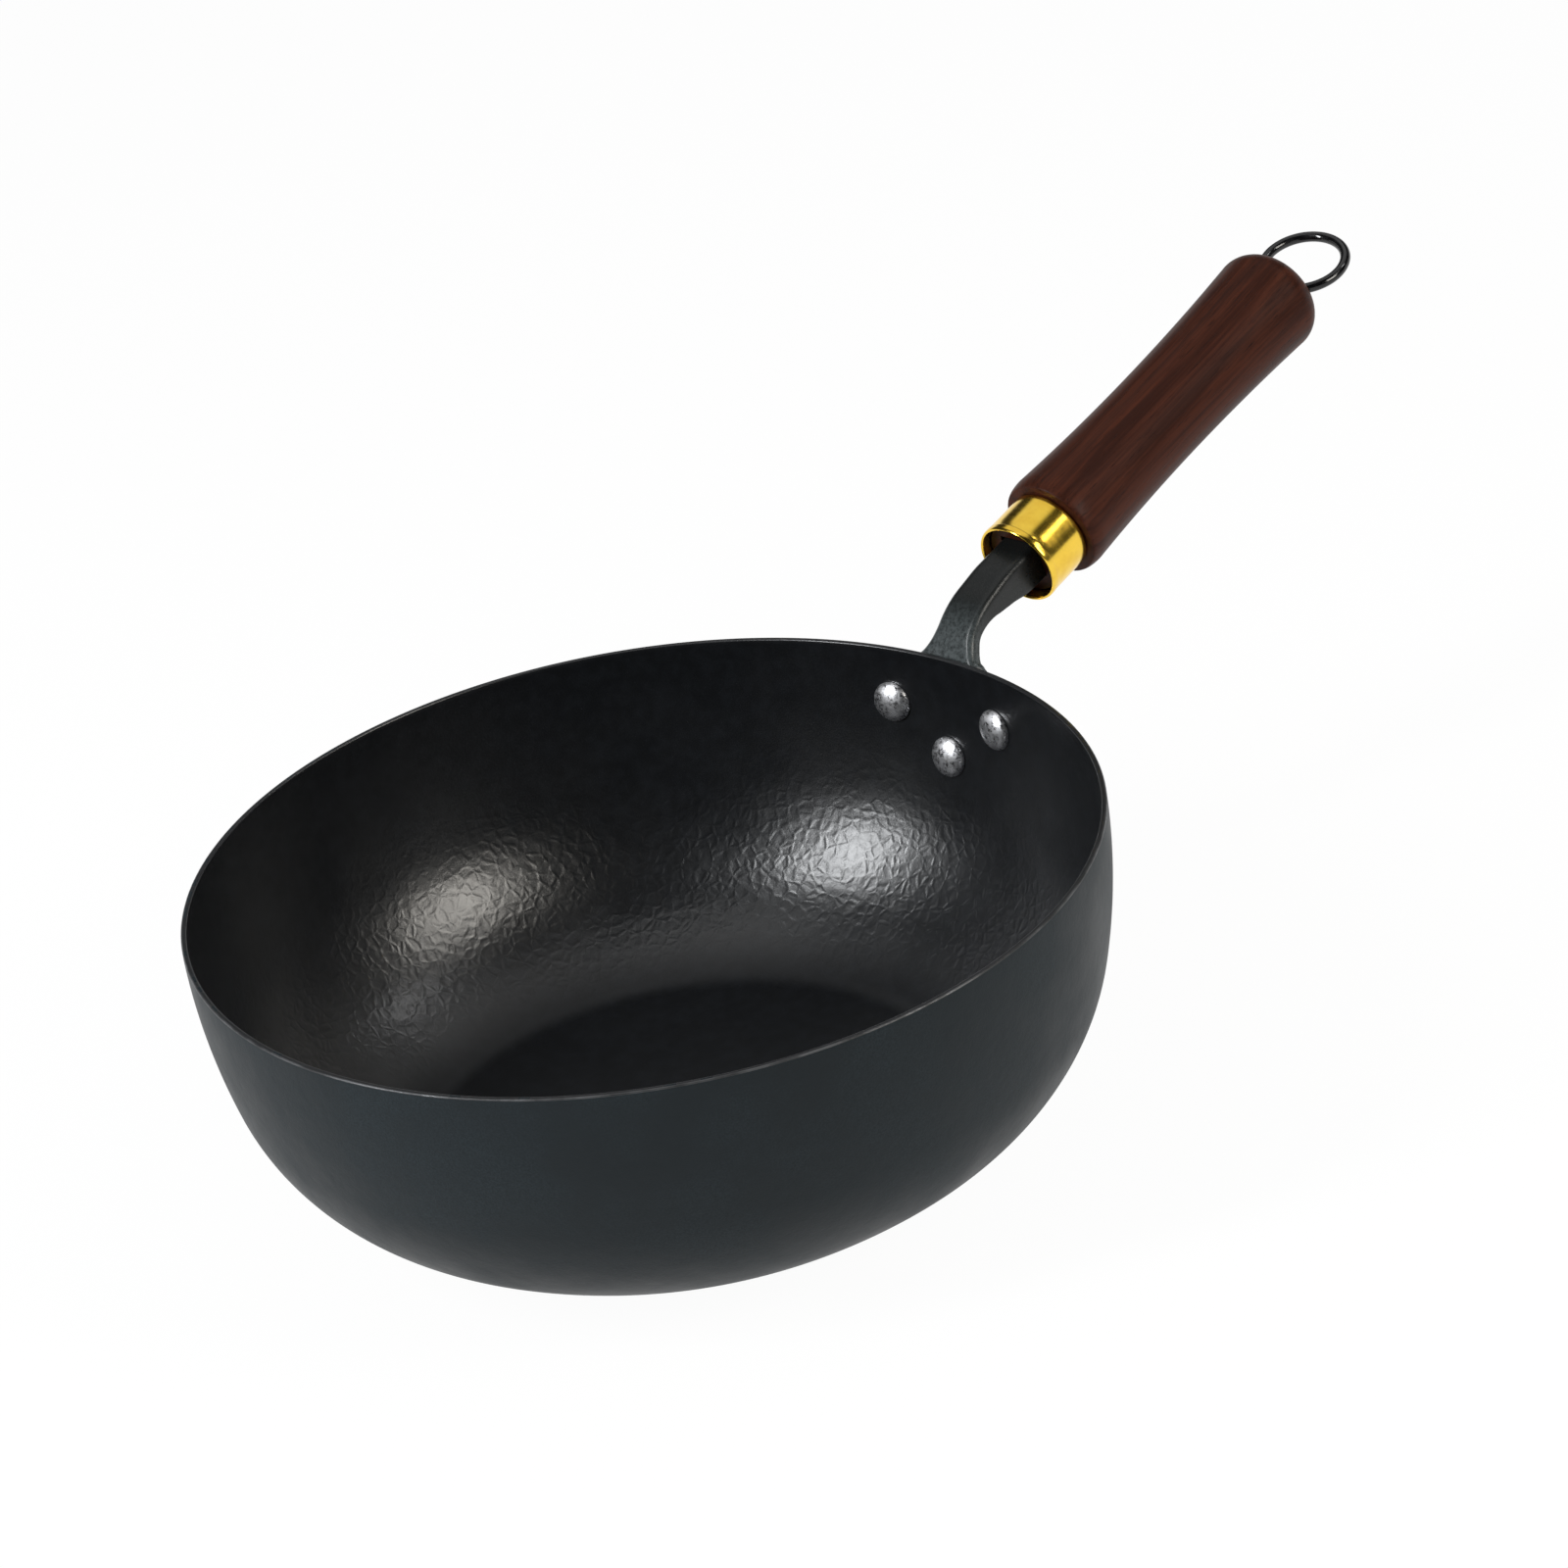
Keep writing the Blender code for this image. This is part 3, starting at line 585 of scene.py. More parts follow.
def polished_rivet():
    """Polished steel with a few fine scuffs and darker specks on each dome."""
    base = colours().rivets
    tree = Finish("polished_rivet", base, 0.42, metallic=1.0)
    scuff = tree.noise(tree.place(), 900.0, detail=4.0, roughness=0.7)
    return tree.dressed(
        Base_Color=tree.blend(tree.mapped(scuff, 0.52, 0.72), base, toned(base, 0.70)),
        Roughness=tree.mapped(scuff, 0.42, 0.66, 0.42, 0.20),
        Normal=tree.raised((scuff, 0.00003)),
    )


def handle_place(tree):
    """Coordinates with Z along the handle and the origin at the ferrule's mouth."""
    matrix = mouth_frame().inverted()
    shift, turn = matrix.to_translation(), matrix.to_euler()
    inputs = {"Vector": tree.place(), "Location": shift, "Rotation": turn}
    return tree.add("ShaderNodeMapping", inputs)


def polished_brass():
    """Mirror brass with faint polishing lines round the tube."""
    base = colours().brass
    tree = Finish("polished_brass", base, 0.18, metallic=1.0)
    place = handle_place(tree)
    lines = tree.fibres(place, 90.0, 5200.0)
    tarnish = tree.mapped(tree.noise(place, 160.0, detail=4.0), 0.4, 0.75)
    deeper = tuple(channel * share for channel, share in zip(base, (0.90, 0.84, 0.72)))
    return tree.dressed(
        Base_Color=tree.blend(tarnish, base, deeper),
        Roughness=tree.mapped(lines, 0.3, 0.7, 0.14, 0.23),
        Normal=tree.raised((lines, 0.000006)),
    )


def dark_wood():
    """Dark red-brown wood: fine lengthwise grain and open pores under a satin lacquer."""
    dark, light = colours().wood_dark, colours().wood_light
    tree = Finish("dark_wood", light, 0.42, specular=0.075)
    place = handle_place(tree)
    broad = tree.fibres(place, 190.0, 9.0, detail=4.0)
    streak = tree.fibres(place, 900.0, 18.0)
    pore = tree.mapped(tree.fibres(place, 2600.0, 80.0, detail=2.0), 0.60, 0.74)
    mixed = tree.maths("ADD", tree.times(broad, 0.55), tree.times(streak, 0.45))
    grain = tree.blend(tree.mapped(mixed, 0.36, 0.62), dark, light)
    between_pores = tree.maths("SUBTRACT", 1.0, pore)
    return tree.dressed(
        Base_Color=tree.blend(pore, grain, toned(dark, 0.5)),
        Roughness=tree.mapped(streak, 0.3, 0.7, 0.37, 0.47),
        Normal=tree.raised((between_pores, 0.00004), (streak, 0.00004)),
    )


def glossy_wire():
    """Dipped glossy black on the wire, slightly uneven."""
    base = colours().wire
    tree = Finish("glossy_wire", base, 0.14)
    uneven = tree.noise(tree.place(), 260.0, detail=2.0)
    return tree.dressed(
        Base_Color=tree.blend(tree.mapped(uneven, 0.4, 0.7), base, toned(base, 2.0)),
        Roughness=tree.mapped(uneven, 0.3, 0.7, 0.10, 0.22),
        Normal=tree.raised((uneven, 0.00008)),
    )


def plain_steel():
    """Plain turned steel with a fine grain and a little dark oil in its low spots."""
    base = colours().nut
    tree = Finish("plain_steel", base, 0.34, metallic=1.0)
    place = tree.place()
    oil = tree.noise(place, 500.0, detail=4.0)
    return tree.dressed(
        Base_Color=tree.blend(tree.mapped(oil, 0.45, 0.7), base, toned(base, 0.45)),
        Roughness=tree.mapped(oil, 0.3, 0.7, 0.28, 0.46),
        Normal=tree.raised((tree.noise(place, 2400.0), 0.00003)),
    )


# Turned pieces: one tree spins a profile of points about Z


def piece_tree(name, *given):
    """Geometry Nodes tree that takes a geometry, a material and each given (name, kind)."""
    group = bpy.data.node_groups.new(name, "GeometryNodeTree")
    for label, kind in (("Geometry", "Geometry"), *given, ("Material", "Material")):
        group.interface.new_socket(label, in_out="INPUT", socket_type=f"NodeSocket{kind}")
    group.interface.new_socket("Geometry", in_out="OUTPUT", socket_type="NodeSocketGeometry")
    return Tree(group), group.nodes.new("NodeGroupInput").outputs


def close_tree(tree, geometry, material):
    """End a tree: its instances are made real and take the material."""
    whole = tree.add("GeometryNodeRealizeInstances", {"Geometry": geometry})
    dressed = tree.add("GeometryNodeSetMaterial", {"Geometry": whole, "Material": material})
    tree.plug(tree.tree.nodes.new("NodeGroupOutput").inputs["Geometry"], dressed)
    return tree.tree


def turned_tree():
    """Geometry Nodes tree: the profile's points, in order, are spun about Z into a closed skin."""
    name = "turned_piece"
    if name in bpy.data.node_groups:
        return bpy.data.node_groups[name]
    tree, given = piece_tree(name, ("Segments", "Int"), ("Merge distance", "Float"))
    profile = given["Geometry"]
    rows = tree.add("GeometryNodeAttributeDomainSize", {"Geometry": profile})
    columns = tree.maths("ADD", given["Segments"], 1.0)
    grid = tree.add("GeometryNodeMeshGrid", {"Vertices X": rows, "Vertices Y": columns})
    index = tree.add("GeometryNodeInputIndex")
    row = tree.maths("FLOOR", tree.maths("DIVIDE", tree.maths("ADD", index, 0.5), columns), 0.0)
    column = tree.maths("SUBTRACT", index, tree.times(row, columns))
    turn = tree.times(column, tree.maths("DIVIDE", tau, given["Segments"]))
    place = tree.add("GeometryNodeInputPosition")
    inputs = {"Geometry": profile, "Value": place, "Index": row}
    point = tree.add("GeometryNodeSampleIndex", inputs, data_type="FLOAT_VECTOR", domain="POINT")
    inputs = {"Vector": point, "Angle": turn}
    spun = tree.add("ShaderNodeVectorRotate", inputs, rotation_type="Z_AXIS")
    skin = tree.add("GeometryNodeSetPosition", {"Geometry": grid, "Position": spun})
    inputs = {"Geometry": skin, "Distance": given["Merge distance"]}
    closed = tree.add("GeometryNodeMergeByDistance", inputs)
    return close_tree(tree, closed, given["Material"])


def turned(name, profile, segments, mat=None, matrix=None):
    """Mesh of a profile of (r, z) points spun about Z.  It ends on the axis or on itself."""
    bm = bmesh.new()
    verts = [bm.verts.new((r, 0.0, z)) for r, z in profile]
    for pair in zip(verts, verts[1:]):
        bm.edges.new(pair)
    obj = object_from(name, bm)
    inputs = {"Segments": segments, "Merge distance": MERGE_DISTANCE, "Material": mat}
    grow(obj, turned_tree(), inputs)
    mesh = faces_out(evaluated_mesh(obj))
    if matrix is not None:
        mesh.transform(matrix)
    return mesh


def turned_object(name, *shape, **settings):
    return plain_object(name, turned(name, *shape, **settings))


def round_cutter(name, radius, start, end, segments, matrix=None):
    profile = [(0.0, start), (radius, start), (radius, end), (0.0, end)]
    return turned_object(name, profile, segments, matrix=matrix)


# Bowl

INSIDE, OUTSIDE, EDGE = range(3)


def bowl_profile():
    """Outer base and wall, rounded rim, inner wall and inner floor, in that order."""
    wall = []
    for arc, pieces in zip(wall_arcs(), WALL_PIECES):
        wall += [arc.point(a) for a in spaced(arc.start, arc.end, pieces)][:-1]
    wall.append(arc.point(arc.end))
    thickness, height = sizes().bowl_wall, sizes().bowl_height
    inner = [(r - thickness * sin(a), z + thickness * cos(a)) for r, z, a in wall]
    rim_outer, rim_inner = wall.pop()[0], inner.pop()[0]
    base = [(r, 0.0) for r in spaced(0.0, BASE_RADIUS, FLAT_PIECES)][:-1]
    floor = [(r, thickness) for r in spaced(0.0, inner[0][0], FLAT_PIECES)][:-1]
    corner = (RIM_ROUNDING, RIM_ROUNDING)
    level = height - RIM_ROUNDING
    quarter = pi / 2
    rim = ellipse_arc((rim_outer - RIM_ROUNDING, level), corner, 0.0, quarter, RIM_PIECES)
    rim += ellipse_arc((rim_inner + RIM_ROUNDING, level), corner, quarter, pi, RIM_PIECES)
    outer = base + [(r, z) for r, z, _ in wall]
    return outer + rim + inner[::-1] + floor[::-1]


def bowl_finish(face):
    """Index of a face's finish: the inside, the outside or the bare edge of the rim."""
    outward = Vector((face.center.x, face.center.y, 0.0))
    on_edge = face.center.z > sizes().bowl_height - RIM_ROUNDING * 1.2
    if on_edge and outward.length > sizes().rim_radius - sizes().bowl_wall / 2:
        return EDGE
    outward.normalize()
    on_wall = face.center.z > sizes().bowl_wall * 1.5
    facing = face.normal.dot(outward) if on_wall else -face.normal.z
    return OUTSIDE if facing > 0.0 else INSIDE


def build_bowl():
    mesh = turned("bowl", bowl_profile(), sizes().bowl_segments)
    finishes = (seasoned_inside(), iron_outside(), bare_rim())
    piece = finished("bowl", mesh, finishes, "iron", "wok_bowl")
    for face in piece.data.polygons:
        face.material_index = bowl_finish(face)


# Bracket: rows of points across the sheet, swept along a path in the XZ plane


def tangent_length(radius, turn):
    """How much of each straight side a bend takes up."""
    return radius * tan(turn / 2)


class Path:
    """The bracket's bowl-side face in the XZ plane, walked upwards from the tip of the plate.

    Each station is (x, z, angle, along), with `along` measured from the bend at the rim.
    """

    def __init__(self):
        self.stations = []

    def straight(self, run, pieces):
        x, z, angle, along = self.stations[-1]
        for step in spaced(0.0, run, pieces)[1:]:
            place = (x + step * cos(angle), z + step * sin(angle))
            self.stations.append((*place, angle, along + step))

    def bend(self, radius, turn, pieces):
        """Bend towards the horizontal.  `along` keeps to the corner that the bend rounds off."""
        x, z, angle, along = self.stations[-1]
        corner = 2 * tangent_length(radius, turn)
        for share in spaced(0.0, 1.0, pieces)[1:]:
            now = angle - turn * share
            dx = radius * (sin(angle) - sin(now))
            dz = radius * (cos(now) - cos(angle))
            self.stations.append((x + dx, z + dz, now, along + corner * share))


def plate_rows():
    """Depths of the plate's rows, from near the tip up to the start of the rim bend."""
    tip_angles = spaced(TIP_FROM, TIP_TO, TIP_ROWS)
    tip_rows = [LOWER_DEPTH + TIP_RADIUS * sin(a) for a in tip_angles]
    turn = wall_at(RIM_BEND_DROP)[1] - RISE_ANGLE
    top = RIM_BEND_DROP + tangent_length(RIM_BEND_RADIUS, turn)
    return tip_rows + spaced(tip_rows[-1], top, PLATE_ROWS)[1:]


def bracket_path():
    """Stations of the path from the plate's tip to the channel's end."""
    path = Path()
    for depth in plate_rows():
        radius, angle = wall_at(depth)
        x = radius + SEAT_GAP * sin(angle)
        z = sizes().bowl_height - depth - SEAT_GAP * cos(angle)
        path.stations.append((x, z, angle, RIM_BEND_DROP - depth))
    rim_turn = path.stations[-1][2] - RISE_ANGLE
    elbow_turn = RISE_ANGLE - REACH_ANGLE
    wrist_turn = REACH_ANGLE - HANDLE_ANGLE
    rim_cut = tangent_length(RIM_BEND_RADIUS, rim_turn)
    elbow_cut = tangent_length(ELBOW_RADIUS, elbow_turn)
    wrist_cut = tangent_length(WRIST_RADIUS, wrist_turn)
    path.bend(RIM_BEND_RADIUS, rim_turn, pieces=14)
    path.straight(RISE_LENGTH - rim_cut - elbow_cut, pieces=4)
    path.bend(ELBOW_RADIUS, elbow_turn, pieces=22)
    path.straight(REACH_LENGTH - elbow_cut - wrist_cut, pieces=6)
    path.bend(WRIST_RADIUS, wrist_turn, pieces=8)
    path.straight(STRAP_END_LENGTH - wrist_cut + CHANNEL_INSERTION, pieces=12)
    return path.stations


def mouth_frame():
    """Frame at the centre of the ferrule's mouth: Z along the handle, Y across, X downwards."""
    x, z, angle, _ = bracket_path()[-1]
    x -= CHANNEL_INSERTION * cos(angle) - CHANNEL_TOP * sin(angle)
    z -= CHANNEL_INSERTION * sin(angle) + CHANNEL_TOP * cos(angle)
    return Matrix.Translation((x, 0.0, z)) @ Matrix.Rotation(pi / 2 - angle, 4, "Y")


def strap_half_width(along):
    """Half of the strap's width over its bends: it flares to the rim and tapers to the ferrule."""
    share = min(max(along / NECK_LENGTH, 0.0), 1.0)
    flare = (STRAP_ROOT_WIDTH - NECK_WIDTH) / 2 * (1.0 - share) ** 2
    taper = min(max((along - NECK_LENGTH) / (MOUTH_ALONG - NECK_LENGTH), 0.0), 1.0)
    return (NECK_WIDTH + (CHANNEL_WIDTH - NECK_WIDTH) * taper) / 2 + flare


def wing_reach():
    """Half of the plate's width, measured along the wall, at the upper rivets."""
    radius = wall_at(UPPER_DEPTH)[0]
    return radius * asin(UPPER_SPACING / 2 / radius) + WING_MARGIN


def plate_half_width(depth, root):
    """Half-width of the plate: shoulders, round wings, straight sides and a round tip."""
    if depth <= UPPER_DEPTH:
        return eased(depth, RIM_BEND_DROP, UPPER_DEPTH, root, wing_reach())
    wing_across = wing_reach() - WING_MARGIN
    drop = LOWER_DEPTH - UPPER_DEPTH
    reach = hypot(drop, wing_across)
    lean = asin((TIP_RADIUS - WING_MARGIN) / reach)
    normal = atan2(wing_across, drop) - lean
    wing_end = UPPER_DEPTH + WING_MARGIN * sin(normal)
    tip_start = LOWER_DEPTH + TIP_RADIUS * sin(normal)
    if depth <= wing_end:
        return wing_across + sqrt(WING_MARGIN**2 - (depth - UPPER_DEPTH) ** 2)
    if depth >= tip_start:
        return sqrt(max(TIP_RADIUS**2 - (depth - LOWER_DEPTH) ** 2, 0.0))
    share = (depth - wing_end) / (tip_start - wing_end)
    wing_side = wing_across + WING_MARGIN * cos(normal)
    return wing_side + (TIP_RADIUS * cos(normal) - wing_side) * share


def bracket_section(along):
    """Half of the section at a station, from the centre line out, as (across, below the face)."""
    web_pieces, bend_pieces, flange_pieces = 5, 8, 6
    bend_length = SHEET_BEND * pi / 2
    depth = eased(along, FLANGE_GROWTH_START, MOUTH_ALONG, NECK_FLANGE_DEPTH, CHANNEL_DEPTH)
    flange = depth - SHEET_BEND
    web = strap_half_width(along) - SHEET_BEND
    turn = eased(along, -FLANGE_RUN_OUT, FLANGE_FULL_TURN_AT, 0.0, pi / 2)
    if along < 0.0:
        root = web + bend_length + flange
        total = plate_half_width(RIM_BEND_DROP - along, root)
        shrink = min(1.0, total / root)
        web *= shrink
        bend_length *= shrink
        flange = total - web - bend_length
    points = [(web * share, 0.0) for share in spaced(0.0, 1.0, web_pieces)]
    across, below, heading = web, 0.0, 0.0
    step, half_turn = bend_length / bend_pieces, turn / bend_pieces / 2
    for _ in range(bend_pieces):
        heading += half_turn
        across += step * cos(heading)
        below += step * sin(heading)
        heading += half_turn
        points.append((across, below))
    for share in spaced(0.0, 1.0, flange_pieces)[1:]:
        reach = flange * share
        points.append((across + reach * cos(turn), below + reach * sin(turn)))
    return points


def placed(station, across, below):
    """Point of the sheet's face: wrapped round the bowl on the plate, flat across on the strap."""
    x, z, angle, along = station
    wrap = eased(along, -RIM_BEND_DROP, RIM_BEND_RADIUS, 1.0, 0.0)
    radius = x + below * sin(angle)
    turn = wrap * across / x
    flat = (1.0 - wrap) * across
    out = radius * cos(turn) - flat * sin(turn)
    side = radius * sin(turn) + flat * cos(turn)
    return Vector((out, side, z - below * cos(angle)))


def end_wall(bm):
    """Wall across the inside of the channel that the clamp nut bears on."""
    mid_sheet = SHEET / 2
    side = CHANNEL_WIDTH / 2 - mid_sheet
    end = CHANNEL_INSERTION - END_WALL_INSET
    low = (mid_sheet - CHANNEL_TOP, -side, end - SHEET)
    high = (CHANNEL_DEPTH - CHANNEL_TOP - END_WALL_INSET, side, end)
    bmesh.ops.transform(bm, matrix=mouth_frame(), verts=add_box(bm, low, high))


def build_bracket():
    bm = bmesh.new()
    rows = []
    for station in bracket_path():
        half = bracket_section(station[3])
        section = [(-across, below) for across, below in half[:0:-1]] + half
        rows.append([bm.verts.new(placed(station, across, below)) for across, below in section])
    for lower, upper in zip(rows, rows[1:]):
        for i in range(len(lower) - 1):
            bm.faces.new((lower[i], lower[i + 1], upper[i + 1], upper[i]))
    obj = object_from("bracket", bm)
    sheet = obj.modifiers.new("sheet", "SOLIDIFY")
    sheet.thickness = SHEET
    sheet.offset = 1.0
    sheet.use_even_offset = True
    edge = obj.modifiers.new("edge", "BEVEL")
    edge.width = SHEET_ROUNDING
    edge.segments = BEVEL_SEGMENTS
    edge.limit_method = "ANGLE"
    edge.angle_limit = BEVEL_ABOVE
    mesh = edited(evaluated_mesh(obj), end_wall)
    finished("bracket", mesh, [black_bracket()], "black_steel", "handle_bracket")


# Rivets: a rivet's own Z runs from the inside of the bowl to the outside


def rivet_profile():
    """Domed head with a soft edge, shank and low formed tail, with z = 0 on the outer wall."""
    head, dome = sizes().rivet_head / 2, sizes().rivet_dome
    rise = head**2 / (2 * (sizes().rim_radius - sizes().bowl_wall))
    head_seat = -sizes().bowl_wall - rise - RIVET_SINK
    tail_seat = 2 * SEAT_GAP + SHEET
    shank = RIVET_SHANK_DIAMETER / 2
    profile = ellipse_arc((0.0, head_seat), (head, dome), -pi / 2, 0.0, pieces=20)
    profile += [(shank, head_seat), (shank, tail_seat)]
    tail = (RIVET_TAIL_DIAMETER / 2, RIVET_TAIL_HEIGHT)
    return profile + ellipse_arc((0.0, tail_seat), tail, 0.0, pi / 2, pieces=12)


def rivets_tree():
    """Geometry Nodes tree: a rivet stands on every point, turned to the wall's outward normal."""
    tree, given = piece_tree("rivets_on_points", ("Rivet", "Object"))
    rivet = tree.add("GeometryNodeObjectInfo", {"Object": given["Rivet"]}, "Geometry")
    kind = "GeometryNodeInputNamedAttribute"
    outward = tree.add(kind, {"Name": "outward"}, data_type="FLOAT_VECTOR")
    turn = tree.add("FunctionNodeAlignRotationToVector", {"Vector": outward}, axis="Z")
    inputs = {"Points": given["Geometry"], "Instance": rivet, "Rotation": turn}
    stood = tree.add("GeometryNodeInstanceOnPoints", inputs)
    return close_tree(tree, stood, given["Material"])


def rivet_points():
    """A mesh of three points on the outer wall that carry the wall's outward normal."""
    upper = wall_at(UPPER_DEPTH)[0]
    spread = asin(UPPER_SPACING / 2 / upper)
    places = ((UPPER_DEPTH, spread), (UPPER_DEPTH, -spread), (LOWER_DEPTH, 0.0))
    points, normals = [], []
    for depth, turn in places:
        radius, angle = wall_at(depth)
        spin = Matrix.Rotation(turn, 3, "Z")
        points.append(spin @ Vector((radius, 0.0, sizes().bowl_height - depth)))
        normals.append(spin @ Vector((sin(angle), 0.0, -cos(angle))))
    mesh = bpy.data.meshes.new("rivets")
    mesh.from_pydata(points, [], [])
    outward = mesh.attributes.new("outward", "FLOAT_VECTOR", "POINT")
    for item, normal in zip(outward.data, normals):
        item.vector = normal
    return mesh


def build_rivets():
    mat = polished_rivet()
    one = turned_object("one_rivet", rivet_profile(), RIVET_SEGMENTS)
    obj = plain_object("rivets", rivet_points())
    grow(obj, rivets_tree(), {"Rivet": one, "Material": mat})
    mesh = evaluated_mesh(obj)
    bpy.data.objects.remove(one)
    finished("rivets", mesh, [mat], "rivet_steel", "rivet_left", "rivet_right", "rivet_lower")


# Ferrule


def ferrule_profile():
    """Rolled lip at the mouth, then a thin tube with a rounded rear edge."""
    outer, lip = FERRULE_DIAMETER / 2, LIP_DIAMETER / 2
    inner = outer - FERRULE_WALL
    step = lip - outer
    roll_centre = ((inner + lip) / 2, LIP_LENGTH / 2)
    roll_radii = ((lip - inner) / 2, LIP_LENGTH / 2)
    rounding = FERRULE_WALL / 2
    rear_start = FERRULE_LENGTH - rounding
    profile = ellipse_arc(roll_centre, roll_radii, pi, tau, pieces=16)
    profile += [
        (lip, LIP_LENGTH),
        (outer + step * 0.3, LIP_LENGTH + step * 0.7),
        (outer, LIP_LENGTH + step * 2.0),
    ]
    profile += [(outer, z) for z in spaced(LIP_LENGTH * 2, rear_start, pieces=10)][:-1]
    rear = (outer - rounding, rear_start)
    profile += ellipse_arc(rear, (rounding, rounding), 0.0, pi / 2, pieces=6)
    return profile + [(inner, FERRULE_LENGTH), profile[0]]


def build_ferrule():
    mat = polished_brass()
    mesh = turned("ferrule_tube", ferrule_profile(), HANDLE_SEGMENTS, mat, mouth_frame())
    finished("ferrule_tube", mesh, [mat], "brass", "ferrule")


# Wooden handle: its own Z starts at the shoulder that meets the ferrule


def grip_radius(z):
    """Radius of the grip, which swells from the waist towards both ends."""
    if z < WAIST_AT:
        swell = FRONT_DIAMETER
        span = WAIST_AT - SHOULDER_ROUNDING
    else:
        swell = REAR_DIAMETER
        span = HANDLE_LENGTH - END_ROUNDING - WAIST_AT
    share = (z - WAIST_AT) / span
    return (WAIST_DIAMETER + (swell - WAIST_DIAMETER) * share * share) / 2


def handle_profile():
    """Tenon inside the ferrule, shoulder with a rounded edge, waisted grip and rounded end."""
    tenon = FERRULE_DIAMETER / 2 - FERRULE_WALL - SEAT_GAP
    start = TENON_SETBACK - SHOULDER_AT
    shoulder = SHOULDER_DIAMETER / 2
    front_centre = (shoulder, SHOULDER_ROUNDING)
    front_radii = (FRONT_DIAMETER / 2 - shoulder, SHOULDER_ROUNDING)
    grip_end = HANDLE_LENGTH - END_ROUNDING
    end_centre = (REAR_DIAMETER / 2 - END_ROUNDING, grip_end)
    end_radii = (END_ROUNDING, END_ROUNDING)
    profile = [(0.0, start), (tenon - SEAT_GAP, start), (tenon, start + SEAT_GAP), (tenon, 0.0)]
    profile += ellipse_arc(front_centre, front_radii, -pi / 2, 0.0, pieces=16)[:-1]
    along = spaced(SHOULDER_ROUNDING, grip_end, pieces=60)[:-1]
    profile += [(grip_radius(z), z) for z in along]
    profile += ellipse_arc(end_centre, end_radii, 0.0, pi / 2, pieces=24)
    return profile + [(0.0, HANDLE_LENGTH)]


def eye_frame():
    """Centre of the ring on the handle axis, with Z square to the ring."""
    place = Matrix.Translation((0.0, 0.0, HANDLE_END_AT + EYE_STANDOFF))
    return place @ Matrix.Rotation(EYE_ROLL, 4, "Z") @ Matrix.Rotation(-pi / 2, 4, "Y")


def build_wooden_handle():
    mat = dark_wood()
    start = Matrix.Translation((0.0, 0.0, SHOULDER_AT))
    obj = turned_object("grip", handle_profile(), HANDLE_SEGMENTS, mat, start)
    half_width = CHANNEL_WIDTH / 2 + SEAT_GAP
    top = -CHANNEL_TOP - SEAT_GAP
    bottom = CHANNEL_DEPTH - CHANNEL_TOP + SEAT_GAP
    pocket_end = CHANNEL_INSERTION + SEAT_GAP
    bm = bmesh.new()
    add_box(bm, (top, -half_width, 0.0), (bottom, half_width, pocket_end))
    pocket = object_from("pocket", bm)
    bore_end = HANDLE_END_AT + EYE_STANDOFF
    bore_radius = ROD_DIAMETER / 2 + SEAT_GAP
    bore = round_cutter("bore", bore_radius, CHANNEL_INSERTION, bore_end, WIRE_SEGMENTS)
    slot_half = sizes().eye_wire / 2 + SEAT_GAP
    slot_radius = EYE_RADIUS + slot_half
    slot = round_cutter("slot", slot_radius, -slot_half, slot_half, HANDLE_SEGMENTS, eye_frame())
    mesh = carved(obj, pocket, bore, slot)
    mesh.transform(mouth_frame())
    finished("grip", mesh, [mat], "wood", "wooden_handle")


# Hanging eye and its nut


def build_hanging_eye():
    mat = glossy_wire()
    wire = sizes().eye_wire / 2
    section = ellipse_arc((EYE_RADIUS, 0.0), (wire, wire), 0.0, tau, WIRE_SEGMENTS)
    obj = turned_object("eye", section, HANDLE_SEGMENTS, mat, eye_frame())
    ring_back = HANDLE_END_AT + EYE_STANDOFF - EYE_RADIUS
    radius, chamfer = ROD_DIAMETER / 2, ROD_DIAMETER / 8
    profile = [(0.0, ROD_END_AT), (radius - chamfer, ROD_END_AT), (radius, ROD_END_AT + chamfer)]
    profile += [(radius, ring_back), (0.0, ring_back)]
    rod = turned_object("rod", profile, WIRE_SEGMENTS, mat)
    mesh = carved(obj, rod, operation="UNION")
    mesh.transform(mouth_frame())
    finished("eye", mesh, [mat], "black_wire", "hanging_eye")


def build_clamp_nut():
    """The CAD nut keeps its own faces and gets a steel tree."""
    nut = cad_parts["clamp_nut"]
    nut.data.materials.clear()
    nut.data.materials.append(plain_steel())


# Studio


def studio_white(tree, plain, share):
    """Mix a surface with white light for camera, glossy and transmission rays."""
    path = tree.tree.nodes.new("ShaderNodeLightPath").outputs
    seen = tree.maths("MAXIMUM", path["Is Camera Ray"], path["Is Glossy Ray"])
    seen = tree.maths("MAXIMUM", seen, path["Is Transmission Ray"])
    white = tree.add("ShaderNodeEmission", {"Color": WHITE, "Strength": 1.0})
    return tree.add("ShaderNodeMixShader", {0: tree.times(seen, share), 1: plain, 2: white})


def add_floor():
    bm = bmesh.new()
    bmesh.ops.create_grid(bm, x_segments=1, y_segments=1, size=FLOOR_HALF_SIZE)
    bmesh.ops.translate(bm, vec=(0.0, 0.0, -SEAT_GAP), verts=bm.verts)
    floor = object_from("floor", bm)
    tree = Finish("pale_floor", colours().floor, 0.9, specular=0.0)
    surface = tree.tree.nodes["Material Output"].inputs["Surface"]
    tree.plug(surface, studio_white(tree, tree.shader.outputs[0], FLOOR_WHITE))
    floor.data.materials.append(tree.mat)


